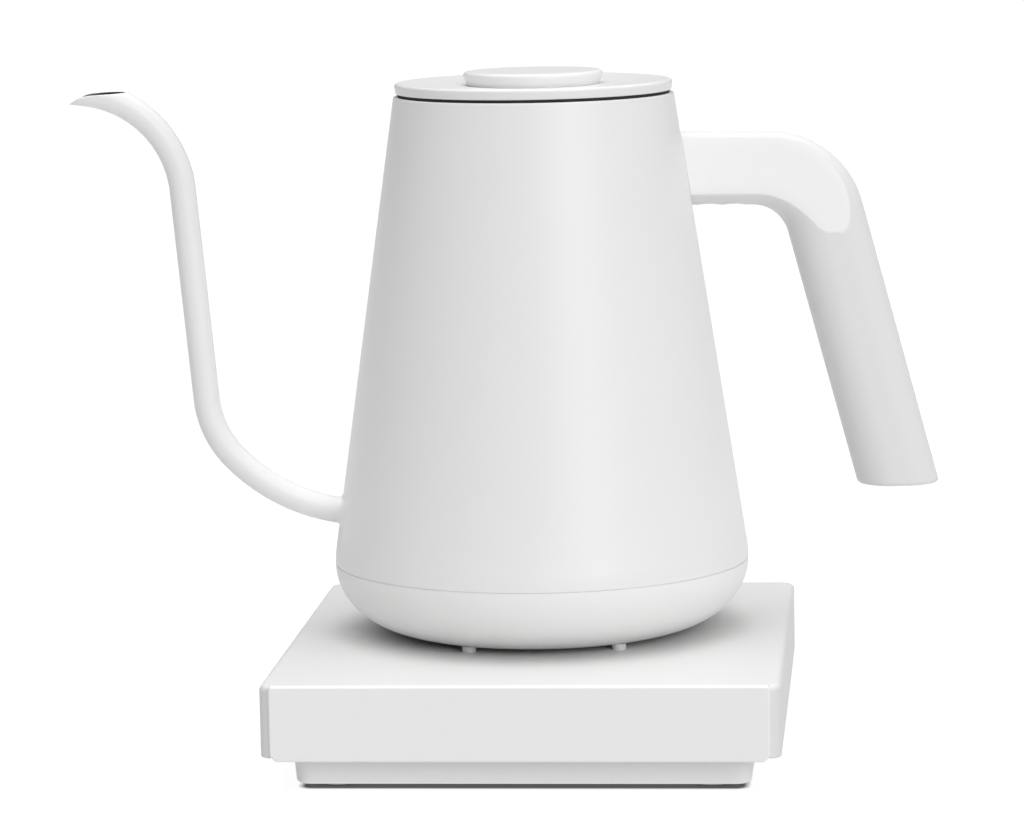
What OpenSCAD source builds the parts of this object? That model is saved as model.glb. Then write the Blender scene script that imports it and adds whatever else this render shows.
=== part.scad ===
// Gooseneck pour-over kettle on a square electric base.
// Frame: millimetres, +Z up, the table at z = 0, the swivel axis of the kettle on the Z axis,
// the front of the base towards -Y. The handle points to +X before the kettle is turned.

/* [Base] */
// Width of the base, side to side
base_w = 170; // [160:1:190]
// Depth of the base, front to back
base_d = 190; // [180:1:210]
// Height of the top of the base above the table
base_top = 36.5; // [34:0.5:42]
// Height of the lower edge of the cover above the table
cover_skirt = 12.4; // [11.5:0.1:14]
// Plan radius of the upright corners of the cover
cover_corner = 5; // [4:0.5:8]
// Radius of the top edge of the cover
cover_edge = 2; // [1:0.25:3]
// Wall thickness of the cover
cover_wall = 2.5; // [2:0.1:3]
// How far the kettle stands behind the middle of the base
kettle_back = 9; // [0:1:12]

/* [Front panel] */
// Width of the front panel
panel_w = 163; // [140:1:164]
// Thickness of the front panel
panel_t = 3; // [2.5:0.1:4]
// How far the front panel stands proud of the cover
panel_proud = 1; // [0.5:0.1:1.5]
// How far the front panel hangs below the cover
panel_drop = 0.9; // [0.5:0.1:1]
// Bevel round the front panel
panel_bevel = 0.8; // [0.4:0.1:1.2]
// Cut at the lower corners of the front panel
panel_cut = 2; // [1:0.25:3]

/* [Tray and feet] */
// Set-back of the tray from the cover, all round
tray_setback = 11; // [9:0.5:14]
// Height of the underside of the tray above the table
tray_lift = 2.4; // [2:0.1:3.5]
// Plan radius of the corners of the tray
tray_corner = 12; // [8:0.5:16]
// Radius of the lower edge of the tray
tray_edge = 2.5; // [1:0.25:4]
// Thickness of the tray
tray_wall = 2.2; // [1.8:0.1:3]
// Diameter of a rubber foot
foot_d = 12; // [9:0.5:13]
// Distance of the middle of a foot from the side of the tray
foot_inset = 12; // [10:0.5:15]

/* [Kettle body] */
// Angle by which the kettle is turned on its base
kettle_turn = 12; // [0:1:30]
// Height of the small feet under the kettle
nub_h = 0.8; // [0.5:0.1:1.2]
// Height of the rim above the underside of the kettle
body_h = 183.8; // [170:0.5:195]
// Outer radius at the rim
rim_r = 47.9; // [46:0.1:50]
// Outer radius at the widest part
waist_r = 71; // [68:0.1:74]
// Height of the widest part above the underside
waist_h = 26.8; // [25:0.1:32]
// Radius of the turn from the widest part into the cone
waist_bend = 30; // [20:1:40]
// Height of the seam between steel body and bottom cover
seam_h = 23.7; // [22:0.1:24.5]
// Open seam between steel body and bottom cover
seam_gap = 0.4; // [0.2:0.1:0.6]
// Wall of the steel body
shell_wall = 1; // [0.8:0.1:1.5]
// Radius of the bore at the mouth
mouth_r = 45.2; // [44:0.1:46]
// Depth of the rolled lip at the mouth
lip_depth = 6; // [4:0.5:10]
// Thickness of the rolled lip
lip_t = 1.2; // [1:0.1:1.6]

/* [Bottom cover] */
// Radius of the bowl-shaped turn at the bottom
bowl_bend = 23; // [18:0.5:24]
// Wall of the bottom cover
bowl_wall = 2.4; // [2:0.1:3]
// Radius of the circle of small feet
nub_circle = 50.5; // [38:0.5:52]
// Radius of a small foot
nub_r = 2.4; // [1.5:0.1:3]
// Angle of the first small foot from the handle
nub_turn = -7; // [-30:1:30]

/* [Spout] */
// Outer radius of the spout tube
spout_r = 4.5; // [4:0.1:5.5]
// Wall of the spout tube
spout_wall = 0.8; // [0.6:0.1:1]
// Height of the spout root above the underside of the kettle
spout_root_h = 42.3; // [38:0.5:50]
// Rise of the spout at the root, in degrees
root_rise = 8; // [4:1:15]
// Radius of the first turn
root_bend = 64; // [55:1:75]
// Angle between the first and the second turn
knee_rise = 48; // [40:1:55]
// Radius of the second turn
knee_bend = 34.3; // [30:0.5:40]
// Angle of the upright stretch from the level
upright_rise = 85.2; // [82:0.2:90]
// Length of the upright stretch
upright_len = 71.7; // [55:0.5:85]
// Radius of the top turn
top_bend = 37.3; // [33:0.5:42]
// Angle of the tip from the level
tip_rise = 8; // [0:1:20]
// Length of the straight tip
tip_len = 6; // [4:0.5:10]
// Slope of the pouring cut
tip_cut = 10; // [5:1:15]

/* [Handle] */
// Width of the handle bar in its own plane
bar_w = 27.4; // [24:0.2:30]
// Depth of the handle bar across its plane
bar_t = 23; // [20:0.5:25]
// Drop of the middle of the arm below the rim, at the body
arm_drop = 26.8; // [22:0.2:34]
// Fall of the arm away from the kettle, in degrees
arm_fall = 1.5; // [0:0.5:5]
// Distance of the start of the bend from the axis
bend_start = 74; // [70:0.5:85]
// Inner radius of the bend
bend_inner = 15; // [12:0.5:20]
// Slant of the grip from the upright
grip_slant = 15; // [10:0.5:20]
// Height of the lower end of the grip above the underside of the kettle
grip_end_h = 45.2; // [35:0.5:60]
// Half thickness between the cheeks at the middle of the arm
cheek_half = 7.4; // [6:0.1:9]
// Tilt of the cheeks
cheek_tilt = 9.5; // [5:0.5:12]
// Wall of the hollow grip
grip_wall = 3; // [2.5:0.1:4]

/* [Lid] */
// Radius of the lid
lid_r = 47.3; // [46:0.1:48]
// Gap between the rim and the lid
lid_gap = 1.3; // [0.8:0.1:2]
// Thickness of the lid at its edge
lid_t = 3.4; // [3:0.1:4.5]
// Depth of the dished top of the lid
lid_dish = 1.4; // [0.5:0.1:1.6]
// Radius of the knob at its top
knob_r = 24; // [18:0.5:30]
// Undercut of the knob at its foot
knob_flare = 2.5; // [1:0.25:4]
// Height of the knob above the dish
knob_h = 4.8; // [4:0.1:8]
// Depth of the plug below the lid
plug_depth = 15; // [11:0.5:20]
// Wall of the plug
plug_wall = 1.8; // [1.4:0.1:2.4]

/* [Coupler] */
// Radius of the pillar on the base
pillar_r = 13; // [11:0.5:15]
// Height of the pillar above the base
pillar_h = 10; // [8:0.5:11]
// Wall of the socket in the kettle
socket_wall = 4.4; // [3.5:0.1:5.5]
// Running clearance all round the coupler
coupler_gap = 0.3; // [0.2:0.05:0.5]
// Radius of the middle contact pin
pin_r = 2; // [1.5:0.1:2.5]
// Middle radius of the inner contact ring
ring_in_r = 5.4; // [5:0.1:6]
// Middle radius of the outer contact ring
ring_out_r = 9.4; // [8.8:0.1:9.6]
// Width of a contact ring
ring_w = 1.2; // [0.8:0.1:1.6]

/* [Heater] */
// Radius of the heat-spreading plate
spreader_r = 54; // [48:0.5:58]
// Thickness of the heat-spreading plate
spreader_t = 3; // [2:0.25:4]
// Middle radius of the element loop
element_loop = 43; // [38:0.5:46]
// Radius of the element tube
element_r = 3.3; // [3:0.1:3.6]
// Height of the water probe above the heater plate
probe_h = 14; // [10:0.5:20]

/* [Fits] */
// Clearance between pieces that are pushed together
fit = 0.15; // [0.1:0.05:0.25]
// Clearance round a screw shank
screw_gap = 0.25; // [0.15:0.05:0.4]

/* [Hidden] */
$fn = 96;

through = 1;                  // how far a cutting solid runs past the face it cuts
arc_steps = 12;               // straight pieces in a drawn arc
lap = 0.5;                    // how far one sweep of a joined pair runs into the other
lap_step = 0.02;              // and how much smaller its radius is
function lap_angle(bend) = lap / bend * 180 / PI;
hex_sides = 6;
drive_r = 0.45;               // radius of a screw's drive, as a share of its head
drive_depth = 0.6;            // depth of a screw's drive, as a share of its head

// Heights above the table
seat_z = base_top + nub_h;
rim_z = seat_z + body_h;
seam_z = seat_z + seam_h;
waist_z = seat_z + waist_h;
bowl_z = seam_z - seam_gap;
spigot_h = 2.5;               // height of the bottom cover's spigot inside the steel body
plate_t = 1.2;                // thickness of the heater plate, which is the floor of the kettle
plate_gap = 0.6;              // weld bead between the spigot and the heater plate
plate_z = seam_z + spigot_h + plate_gap;
spreader_z = plate_z - spreader_t;
lid_z = rim_z + lid_gap;
lid_top_z = lid_z + lid_t;
dish_z = lid_top_z - lid_dish;
base_mid_y = -kettle_back;
front_y = base_mid_y - base_d / 2;
back_y = base_mid_y + base_d / 2;
cover_in_z = base_top - cover_wall;

// Points of an arc about c from angle a0 to a1
function arc(c, r, a0, a1) =
    [for (i = [0 : arc_steps]) c + r * heading(a0 + (a1 - a0) * i / arc_steps)];
// Unit vector at an angle
function heading(a) = [cos(a), sin(a)];

// Cone of the body: the line from the rim that runs tangent into the turn at the waist
waist_c = [waist_r - waist_bend, waist_z];
to_rim = [rim_r, rim_z] - waist_c;
cone_a = atan2(to_rim[1], to_rim[0]) - acos(waist_bend / norm(to_rim));
// Outline of the body, drawn inwards by a wall
function body_side(inset) = concat(
    [[waist_r - inset, seam_z]],
    arc(waist_c, waist_bend - inset, 0, cone_a),
    [[rim_r, rim_z] - inset * heading(cone_a)]);
// Outer radius of the cone at a height
function cone_r(z) = rim_r + (rim_z - z) * tan(cone_a);

module washer(r_out, r_in, h) {
    difference() {
        cylinder(r = r_out, h = h);
        translate([0, 0, -through]) cylinder(r = r_in, h = h + 2 * through);
    }
}
module round_rect(w, d, r) {
    square([w - 2 * r, d], center = true);
    square([w, d - 2 * r], center = true);
    for (x = [-1, 1], y = [-1, 1]) translate([x * (w / 2 - r), y * (d / 2 - r)]) circle(r = r);
}
module slab(w, d, h, r) {
    linear_extrude(h) round_rect(w, d, r);
}
// A slab with its top edge rounded by e
module soft_slab(w, d, h, r, e) {
    intersection() {
        slab(w, d, h, r);
        translate([0, d / 2, 0]) rotate([90, 0, 0]) linear_extrude(d) round_rect(w, 2 * h, e);
        translate([-w / 2, 0, 0]) rotate([90, 0, 90]) linear_extrude(w) round_rect(d, 2 * h, e);
    }
}
module on_base() {
    translate([0, base_mid_y, 0]) children();
}
module on_kettle() {
    rotate([0, 0, kettle_turn]) children();
}
// A pan-head screw with its head at z = 0 and its shank upwards
module screw(shank_r, head_r, head_h, length) {
    translate([0, 0, -head_h]) difference() {
        cylinder(r = head_r, h = head_h);
        translate([0, 0, -through])
            cylinder(r = head_r * drive_r, h = head_h * drive_depth + through, $fn = hex_sides);
    }
    cylinder(r = shank_r, h = length);
}

// ---- Base ----
rebate = panel_t - panel_proud;
cavity_w = base_w - 2 * cover_wall;
cavity_d = base_d - 2 * cover_wall - rebate;
cavity_r = cover_corner - cover_wall;
tray_w = base_w - 2 * tray_setback;
tray_d = base_d - 2 * tray_setback;
tray_floor = tray_lift + tray_wall;
tray_top = cover_skirt + tray_wall;
cavity_front_y = front_y + cover_wall + rebate;
boss_r = 4;
base_screw_r = 1.5;
base_screw_head_r = 3;
base_screw_head_h = 2;
base_screw_grip = 10;         // length of a base screw inside its boss
boss_hole_h = base_screw_grip + 2;
base_screw_x = tray_w / 2 - foot_inset;
base_screw_y = tray_d / 2 - foot_inset - foot_d;
screw_spare = 1;              // free depth of a blind hole beyond its screw
pocket_h = 3.6;               // depth of the screw pockets under the tray
board_t = 1.6;
board_w = 104;
board_d = 52;
board_lift = 4;               // height of the posts under the power board
board_back = 4;               // distance of the board from the front wall of the tray
board_z = tray_floor + board_lift;
board_top = board_z + board_t;
board_y = front_y + tray_setback + tray_wall + board_back + board_d / 2;
board_hole_in = 5;            // distance of the screw holes from the sides of the board
board_hole_x = board_w / 2 - board_hole_in;
board_hole_y = board_d / 2 - board_hole_in;
post_r = 3;
board_screw_r = 1.25;
board_screw_head_r = 2.4;
board_screw_head_h = 1.8;
panel_z = cover_skirt - panel_drop;
panel_dip = 0.3;              // how far the panel stays below the top of the base
panel_top = base_top - panel_dip;
window_w = 60;                // opening behind the panel, for the display
window_h = 11;
window_drop = 3;              // distance of the window below the inside of the cover
window_z = cover_in_z - window_drop - window_h;
flange_t = 3;
pillar_boss_h = 6;            // length of the bosses that hold the pillar under the cover
flange_top = cover_in_z - pillar_boss_h;
flange_z = flange_top - flange_t;
pillar_screw_at = pillar_r + 11;
flange_r = pillar_screw_at + 5;
pillar_top = base_top + pillar_h;
gland_r = 5;
gland_z = (cover_in_z + tray_top) / 2;
contact_dip = 0.5;            // how far the contacts stay below the top of the pillar
ring_z = pillar_top - contact_dip;
groove_floor = base_top - 6;

module panel_form(grow) {
    intersection() {
        translate([0, front_y + rebate + grow, 0]) rotate([90, 0, 0])
            linear_extrude(panel_t + 2 * grow) polygon([
                [-panel_w / 2 - grow, panel_top + grow],
                [-panel_w / 2 - grow, panel_z + panel_cut - grow],
                [-panel_w / 2 + panel_cut - grow, panel_z - grow],
                [panel_w / 2 - panel_cut + grow, panel_z - grow],
                [panel_w / 2 + grow, panel_z + panel_cut - grow],
                [panel_w / 2 + grow, panel_top + grow]]);
        translate([-base_w / 2, 0, 0]) rotate([90, 0, 90]) linear_extrude(base_w) bevelled(
            front_y - panel_proud - grow, front_y + rebate + grow, panel_z - grow, panel_top + grow);
        linear_extrude(base_top + through) rotate(-90) bevelled(-front_y - rebate - grow,
            -front_y + panel_proud + grow, -panel_w / 2 - grow, panel_w / 2 + grow, true);
    }
}
// A rectangle with two bevelled corners, on its low side or on its high side
module bevelled(x0, x1, y0, y1, high = false) {
    b = panel_bevel;
    polygon(high
        ? [[x0, y0], [x1 - b, y0], [x1, y0 + b], [x1, y1 - b], [x1 - b, y1], [x0, y1]]
        : [[x0, y0 + b], [x0 + b, y0], [x1, y0], [x1, y1], [x0 + b, y1], [x0, y1 - b]]);
}
module at_base_screws() {
    for (x = [-1, 1], y = [-1, 1]) translate([x * base_screw_x, base_mid_y + y * base_screw_y, 0]) children();
}
module at_feet() {
    for (x = [-1, 1], y = [-1, 1])
        translate([x * (tray_w / 2 - foot_inset), base_mid_y + y * (tray_d / 2 - foot_inset), 0]) children();
}
module at_board_holes() {
    for (x = [-1, 1], y = [-1, 1]) translate([x * board_hole_x, board_y + y * board_hole_y, 0]) children();
}
module at_pillar_screws() {
    for (a = [90 : 120 : 330]) rotate(a) translate([pillar_screw_at, 0, 0]) children();
}

module base_cover() {
    color("white") difference() {
        union() {
            difference() {
                on_base() translate([0, 0, cover_skirt])
                    soft_slab(base_w, base_d, base_top - cover_skirt, cover_corner, cover_edge);
                on_base() translate([0, rebate / 2, cover_skirt - through])
                    slab(cavity_w, cavity_d, cover_in_z - cover_skirt + through, cavity_r);
                panel_form(fit);
                translate([0, 0, panel_dip + through]) panel_form(fit);
            }
            at_base_screws() translate([0, 0, tray_top])
                cylinder(r = boss_r, h = cover_in_z + cover_wall / 2 - tray_top);
            at_pillar_screws() translate([0, 0, flange_top])
                cylinder(r = boss_r, h = pillar_boss_h + cover_wall / 2);
        }
        at_base_screws() translate([0, 0, tray_top - through])
            cylinder(r = base_screw_r + fit, h = boss_hole_h + through);
        at_pillar_screws() translate([0, 0, flange_top - through])
            cylinder(r = base_screw_r + fit, h = pillar_boss_h + through);
        translate([0, 0, cover_in_z - through]) cylinder(r = pillar_r + fit, h = cover_wall + 2 * through);
        translate([-window_w / 2, front_y - through, window_z])
            cube([window_w, cavity_front_y - front_y + 2 * through, window_h]);
        translate([0, back_y - cover_wall - through, gland_z]) rotate([-90, 0, 0])
            cylinder(r = gland_r + fit, h = cover_wall + 2 * through);
    }
}
module front_panel() {
    color("whitesmoke") panel_form(0);
}
module base_tray() {
    color("gainsboro") difference() {
        union() {
            difference() {
                union() {
                    on_base() translate([0, 0, cover_skirt]) mirror([0, 0, 1])
                        soft_slab(tray_w, tray_d, cover_skirt - tray_lift, tray_corner, tray_edge);
                    on_base() translate([0, rebate / 2, cover_skirt])
                        slab(cavity_w - 2 * fit, cavity_d - 2 * fit, tray_wall, cavity_r);
                }
                on_base() translate([0, 0, tray_floor])
                    slab(tray_w - 2 * tray_wall, tray_d - 2 * tray_wall, base_top, tray_corner - tray_wall);
            }
            at_base_screws() translate([0, 0, tray_floor]) cylinder(r = boss_r, h = tray_top - tray_floor);
            at_board_holes() translate([0, 0, tray_floor]) cylinder(r = post_r, h = board_z - tray_floor);
        }
        at_base_screws() translate([0, 0, tray_lift - through]) {
            cylinder(r = base_screw_r + screw_gap, h = base_top);
            cylinder(r = base_screw_head_r + screw_gap, h = pocket_h + through);
        }
        at_board_holes() translate([0, 0, tray_floor - tray_wall / 2])
            cylinder(r = board_screw_r + fit, h = board_z);
        at_feet() translate([0, 0, tray_lift - through])
            cylinder(r = foot_d / 2 + fit, h = tray_wall / 2 + through);
    }
}
module rubber_feet() {
    color("dimgray") at_feet() cylinder(d = foot_d, h = tray_lift + tray_wall / 2);
}
module base_screws() {
    color("silver") at_base_screws() translate([0, 0, tray_lift + pocket_h])
        screw(base_screw_r, base_screw_head_r, base_screw_head_h,
            tray_top - tray_lift - pocket_h + base_screw_grip);
}
module coupler_pillar() {
    color("darkgray") difference() {
        union() {
            translate([0, 0, flange_z]) cylinder(r = flange_r, h = flange_t);
            translate([0, 0, flange_z]) cylinder(r = pillar_r, h = pillar_top - flange_z);
        }
        at_pillar_screws() translate([0, 0, flange_z - through])
            cylinder(r = base_screw_r + screw_gap, h = flange_t + 2 * through);
        contact_grooves(groove_floor, pillar_top + through);
        contact_legs(flange_z - through, groove_floor + through, fit);
    }
}
// Three concentric contacts: a pin and two rings
module contact_rings(z0, z1, grow) {
    translate([0, 0, z0]) {
        cylinder(r = pin_r + grow, h = z1 - z0);
        for (r = [ring_in_r, ring_out_r]) washer(r + ring_w / 2 + grow, r - ring_w / 2 - grow, z1 - z0);
    }
}
module contact_grooves(z0, z1) {
    translate([0, 0, z0]) {
        cylinder(r = pin_r + coupler_gap, h = z1 - z0);
        for (r = [ring_in_r, ring_out_r]) difference() {
            cylinder(r = r + ring_w / 2 + coupler_gap, h = z1 - z0);
            translate([0, 0, -through]) cylinder(r = r - ring_w / 2 - coupler_gap, h = z1 - z0 + 2 * through);
        }
    }
}
leg_r = 0.5;
module contact_legs(z0, z1, grow) {
    for (x = [0, -ring_in_r, ring_out_r]) translate([x, 0, z0]) cylinder(r = leg_r + grow, h = z1 - z0);
}
pillar_leg = 5;               // length of the contact legs below the flange
module pillar_contacts() {
    color("goldenrod") {
        contact_rings(groove_floor, ring_z, 0);
        contact_legs(flange_z - pillar_leg, groove_floor + fit, 0);
    }
}
module pillar_screws() {
    color("silver") at_pillar_screws() translate([0, 0, flange_z])
        screw(base_screw_r, base_screw_head_r, base_screw_head_h, flange_t + pillar_boss_h - screw_spare);
}
module power_board() {
    color("seagreen") difference() {
        translate([-board_w / 2, board_y - board_d / 2, board_z]) cube([board_w, board_d, board_t]);
        at_board_holes() translate([0, 0, board_z - through])
            cylinder(r = board_screw_r + screw_gap, h = board_t + 2 * through);
    }
}
module board_screws() {
    color("silver") at_board_holes() translate([0, 0, board_top]) mirror([0, 0, 1])
        screw(board_screw_r, board_screw_head_r, board_screw_head_h, board_t + board_lift);
}
// A plain component body on the power board, at a place from the middle of the board
module on_board(at, size) {
    translate([at[0] - size[0] / 2, board_y + at[1] - size[1] / 2, board_top]) cube(size);
}
relay_at = [-33, 6];
relay_size = [19, 15.5, 15.3];
module relay() {
    color("royalblue") on_board(relay_at, relay_size);
}
capacitor_at = [-8, 8];
capacitor_size = [18, 8.5, 15];
module filter_capacitor() {
    color("khaki") on_board(capacitor_at, capacitor_size);
}
sink_at = [26, 8];
sink_w = 30;
sink_base = 2.5;
sink_h = 17;
fin_d = 8;
fin_n = 6;
fin_t = 1.4;
module heat_sink() {
    fin_pitch = (sink_w - fin_t) / (fin_n - 1);
    color("silver") {
        on_board(sink_at, [sink_w, sink_base, sink_h]);
        for (i = [0 : fin_n - 1])
            on_board(sink_at + [(fin_t - sink_w) / 2 + i * fin_pitch, (sink_base + fin_d) / 2],
                [fin_t, fin_d, sink_h]);
    }
}
triac_size = [10, 4.5, 10];
triac_lift = 3;               // height of the body of the triac above the board
triac_pitch = 2.54;
triac_leg = [0.8, 0.6, triac_lift + 0.2];
module triac() {
    at = sink_at - [0, (sink_base + triac_size[1]) / 2];
    color("black") {
        translate([0, 0, triac_lift]) on_board(at, triac_size);
        for (i = [-1, 0, 1]) on_board(at + [i * triac_pitch, 0], triac_leg);
    }
}
block_size = [30, 12, 10];
block_y = back_y - tray_setback - tray_wall - 14;
block_hole_r = 2;
block_hole_floor = 4;
module terminal_block() {
    color("ivory") difference() {
        translate([-block_size[0] / 2, block_y - block_size[1] / 2, tray_floor]) cube(block_size);
        for (i = [-1, 0, 1])
            translate([i * block_size[0] / 3, block_y, tray_floor + block_hole_floor])
                cylinder(r = block_hole_r, h = block_size[2]);
    }
}
gland_lip_t = 1.5;
gland_lip = 2;                // how far the outer lip of the gland stands round it
gland_ring = 1.5;             // and the ring inside the cover
gland_ring_t = 5;
gland_bore_r = 3.4;
module cord_gland() {
    color("lightgray") translate([0, back_y, gland_z]) rotate([90, 0, 0]) difference() {
        union() {
            translate([0, 0, -gland_lip_t]) cylinder(r = gland_r + gland_lip, h = gland_lip_t);
            cylinder(r = gland_r, h = cover_wall);
            translate([0, 0, cover_wall]) cylinder(r = gland_r + gland_ring, h = gland_ring_t);
        }
        translate([0, 0, -gland_lip_t - through])
            cylinder(r = gland_bore_r, h = gland_lip_t + cover_wall + gland_ring_t + 2 * through);
    }
}
wire_r = 1.1;
wire_sides = 24;
module lead(p, q) {
    d = q - p;
    translate(p) rotate([0, acos(d[2] / norm(d)), atan2(d[1], d[0])])
        cylinder(r = wire_r, h = norm(d), $fn = wire_sides);
}
wire_turn_y = 12;             // where the leads leave the floor for the pillar
// Leads from the inlet block to the contacts of the pillar, each clipped along the tray floor
module base_wiring() {
    leg_z = flange_z - pillar_leg - wire_r;
    lie_z = tray_floor + wire_r + fit;
    block_front = block_y - block_size[1] / 2;
    color("saddlebrown") for (i = [-1, 0, 1]) {
        x = i * ring_out_r;
        leg_x = i < 0 ? -ring_in_r : x;
        lead([x, block_front - fit, lie_z], [x, wire_turn_y, lie_z]);
        translate([x, wire_turn_y, lie_z]) sphere(r = wire_r, $fn = wire_sides);
        lead([x, wire_turn_y, lie_z], [leg_x, 0, leg_z]);
        translate([leg_x, 0, leg_z - fit]) sphere(r = wire_r, $fn = wire_sides);
    }
}
display_w = 110;
display_h = 15;
display_back = 7;             // distance of the display board behind the front wall
display_y = cavity_front_y + display_back;
display_z = window_z + window_h / 2 - display_h / 2;
module display_board() {
    color("seagreen") translate([-display_w / 2, display_y, display_z])
        cube([display_w, board_t, display_h]);
}
module display_block() {
    color("black") translate([-window_w / 2 + fit, front_y + rebate + fit, window_z + fit])
        cube([window_w - 2 * fit, display_y - front_y - rebate - fit, window_h - 2 * fit]);
}
touch_r = 3;
touch_wall = 0.8;
touch_aside = 10;             // distance of a touch spring from the window
module touch_springs() {
    color("gold") for (x = [-1, 1])
        translate([x * (window_w / 2 + touch_aside), cavity_front_y + fit, window_z + window_h / 2])
            rotate([-90, 0, 0]) washer(touch_r, touch_r - touch_wall, display_y - cavity_front_y - fit);
}
buzzer_at = [-12, -16];
buzzer_r = 6;
buzzer_h = 8;
module buzzer() {
    color("black") translate([buzzer_at[0], board_y + buzzer_at[1], board_top])
        cylinder(r = buzzer_r, h = buzzer_h);
}

// ---- Coupler in the kettle ----
socket_bore = pillar_r + coupler_gap;
socket_r = socket_bore + socket_wall;
socket_ceiling = pillar_top + coupler_gap;
socket_roof = 3.5;            // thickness of the socket above the pillar
socket_top = socket_ceiling + socket_roof;
socket_ring_top = socket_ceiling + socket_roof / 2;
socket_flange_r = socket_r + 3;
socket_flange_t = 2;
floor_top = seat_z + bowl_wall;
socket_leg = 2.5;             // length of the contact legs above the socket
module kettle_socket() {
    color("dimgray") difference() {
        union() {
            translate([0, 0, seat_z + coupler_gap])
                cylinder(r = socket_r, h = socket_top - seat_z - coupler_gap);
            translate([0, 0, floor_top + coupler_gap]) cylinder(r = socket_flange_r, h = socket_flange_t);
        }
        translate([0, 0, seat_z - through]) cylinder(r = socket_bore, h = socket_ceiling - seat_z + through);
        contact_rings(socket_ceiling - through, socket_ring_top, fit);
        contact_legs(socket_ring_top - through, socket_top + through, fit);
    }
}
module socket_contacts() {
    color("goldenrod") {
        contact_rings(ring_z, socket_ring_top, 0);
        contact_legs(socket_ring_top - fit, socket_top + socket_leg, 0);
    }
}

// ---- Kettle body ----
module body_solid(inset) {
    rotate_extrude() polygon(concat([[0, seam_z]], body_side(inset), [[0, rim_z - inset * sin(cone_a)]]));
}
root_z = seat_z + spout_root_h;
root_in = 1;                  // how far inside the wall the first turn of the spout starts
root_s = cone_r(root_z) - shell_wall - root_in;
root_stub = 6;                // straight tube inside the body before it is trimmed
module kettle_shell() {
    color("white") on_kettle() difference() {
        body_solid(0);
        difference() {
            body_solid(shell_wall);
            translate([0, 0, rim_z - lip_depth]) cylinder(r = rim_r, h = lip_depth + through);
        }
        translate([0, 0, seam_z - through]) cylinder(r = waist_r - shell_wall, h = 2 * through);
        translate([0, 0, rim_z - lip_depth - through]) cylinder(r = mouth_r, h = lip_depth + 2 * through);
        spout_path(spout_r + fit);
    }
}

// ---- Spout: points are distance out from the axis and height ----
function left_of(a) = [-sin(a), cos(a)];
p_root = [root_s, root_z];
p_knee = p_root + root_bend * (left_of(root_rise) - left_of(knee_rise));
p_up = p_knee + knee_bend * (left_of(knee_rise) - left_of(upright_rise));
p_top = p_up + upright_len * heading(upright_rise);
p_tip = p_top - top_bend * (left_of(upright_rise) - left_of(tip_rise));
module straight_tube(p, a, len, r) {
    translate([p[0], 0, p[1]]) rotate([0, 90 - a, 0]) cylinder(r = r, h = len);
}
// A rod round the centre c of its bend, from angle a0 to a1
module bend_tube(c, bend, a0, a1, r) {
    translate([c[0], 0, c[1]]) rotate([90, 0, 0]) rotate([0, 0, a0])
        rotate_extrude(angle = a1 - a0) translate([bend, 0]) circle(r = r);
}
module spout_path(r) {
    thin = r - lap_step;
    rotate([0, 0, 180]) {
        straight_tube(p_root - root_stub * heading(root_rise), root_rise, root_stub + lap, thin);
        bend_tube(p_root + root_bend * left_of(root_rise), root_bend, root_rise - 90, knee_rise - 90, r);
        bend_tube(p_knee + knee_bend * left_of(knee_rise), knee_bend,
            knee_rise - 90 - lap_angle(knee_bend), upright_rise - 90 + lap_angle(knee_bend), thin);
        straight_tube(p_up, upright_rise, upright_len, r);
        bend_tube(p_top - top_bend * left_of(upright_rise), top_bend,
            tip_rise + 90 - lap_angle(top_bend), upright_rise + 90 + lap_angle(top_bend), thin);
        straight_tube(p_tip, tip_rise, tip_len, r);
    }
}
beak = p_tip + tip_len * heading(tip_rise) - spout_r * left_of(tip_rise);
module spout() {
    color("white") on_kettle() difference() {
        spout_path(spout_r);
        spout_path(spout_r - spout_wall);
        body_solid(shell_wall);
        rotate([0, 0, 180]) translate([beak[0], 0, beak[1]]) rotate([0, tip_cut, 0])
            translate([-2 * top_bend, -top_bend, 0]) cube([4 * top_bend, 2 * top_bend, 2 * top_bend]);
    }
}

// ---- Handle ----
arm_z = rim_z - arm_drop;
bar_mid = bend_inner + bar_w / 2;
arm_out = cone_r(arm_z);
bend_c = [bend_start, arm_z - (bend_start - arm_out) * tan(arm_fall) - bar_mid];
p_arm = bend_c + bar_mid * heading(90 - arm_fall);
p_grip = bend_c + bar_mid * heading(grip_slant);
grip_end_z = seat_z + grip_end_h;
grip_reach = (p_grip[1] - grip_end_z) / cos(grip_slant);
mount_len = 22;               // length of the steel saddle outside the body
mount_w = 8;
mount_t = 13;
mount_screws = [8, 17];       // distances of its screws from the body
pocket_roof = 5.5;            // plastic between a screw's head and the saddle side of its pocket
handle_screw_r = 2;
handle_screw_head_r = 3.6;
handle_screw_head_h = 2.4;
module bar_section(w, t) {
    square([w - t, t], center = true);
    for (x = [-1, 1]) translate([x * (w - t) / 2, 0]) circle(d = t);
}
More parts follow.
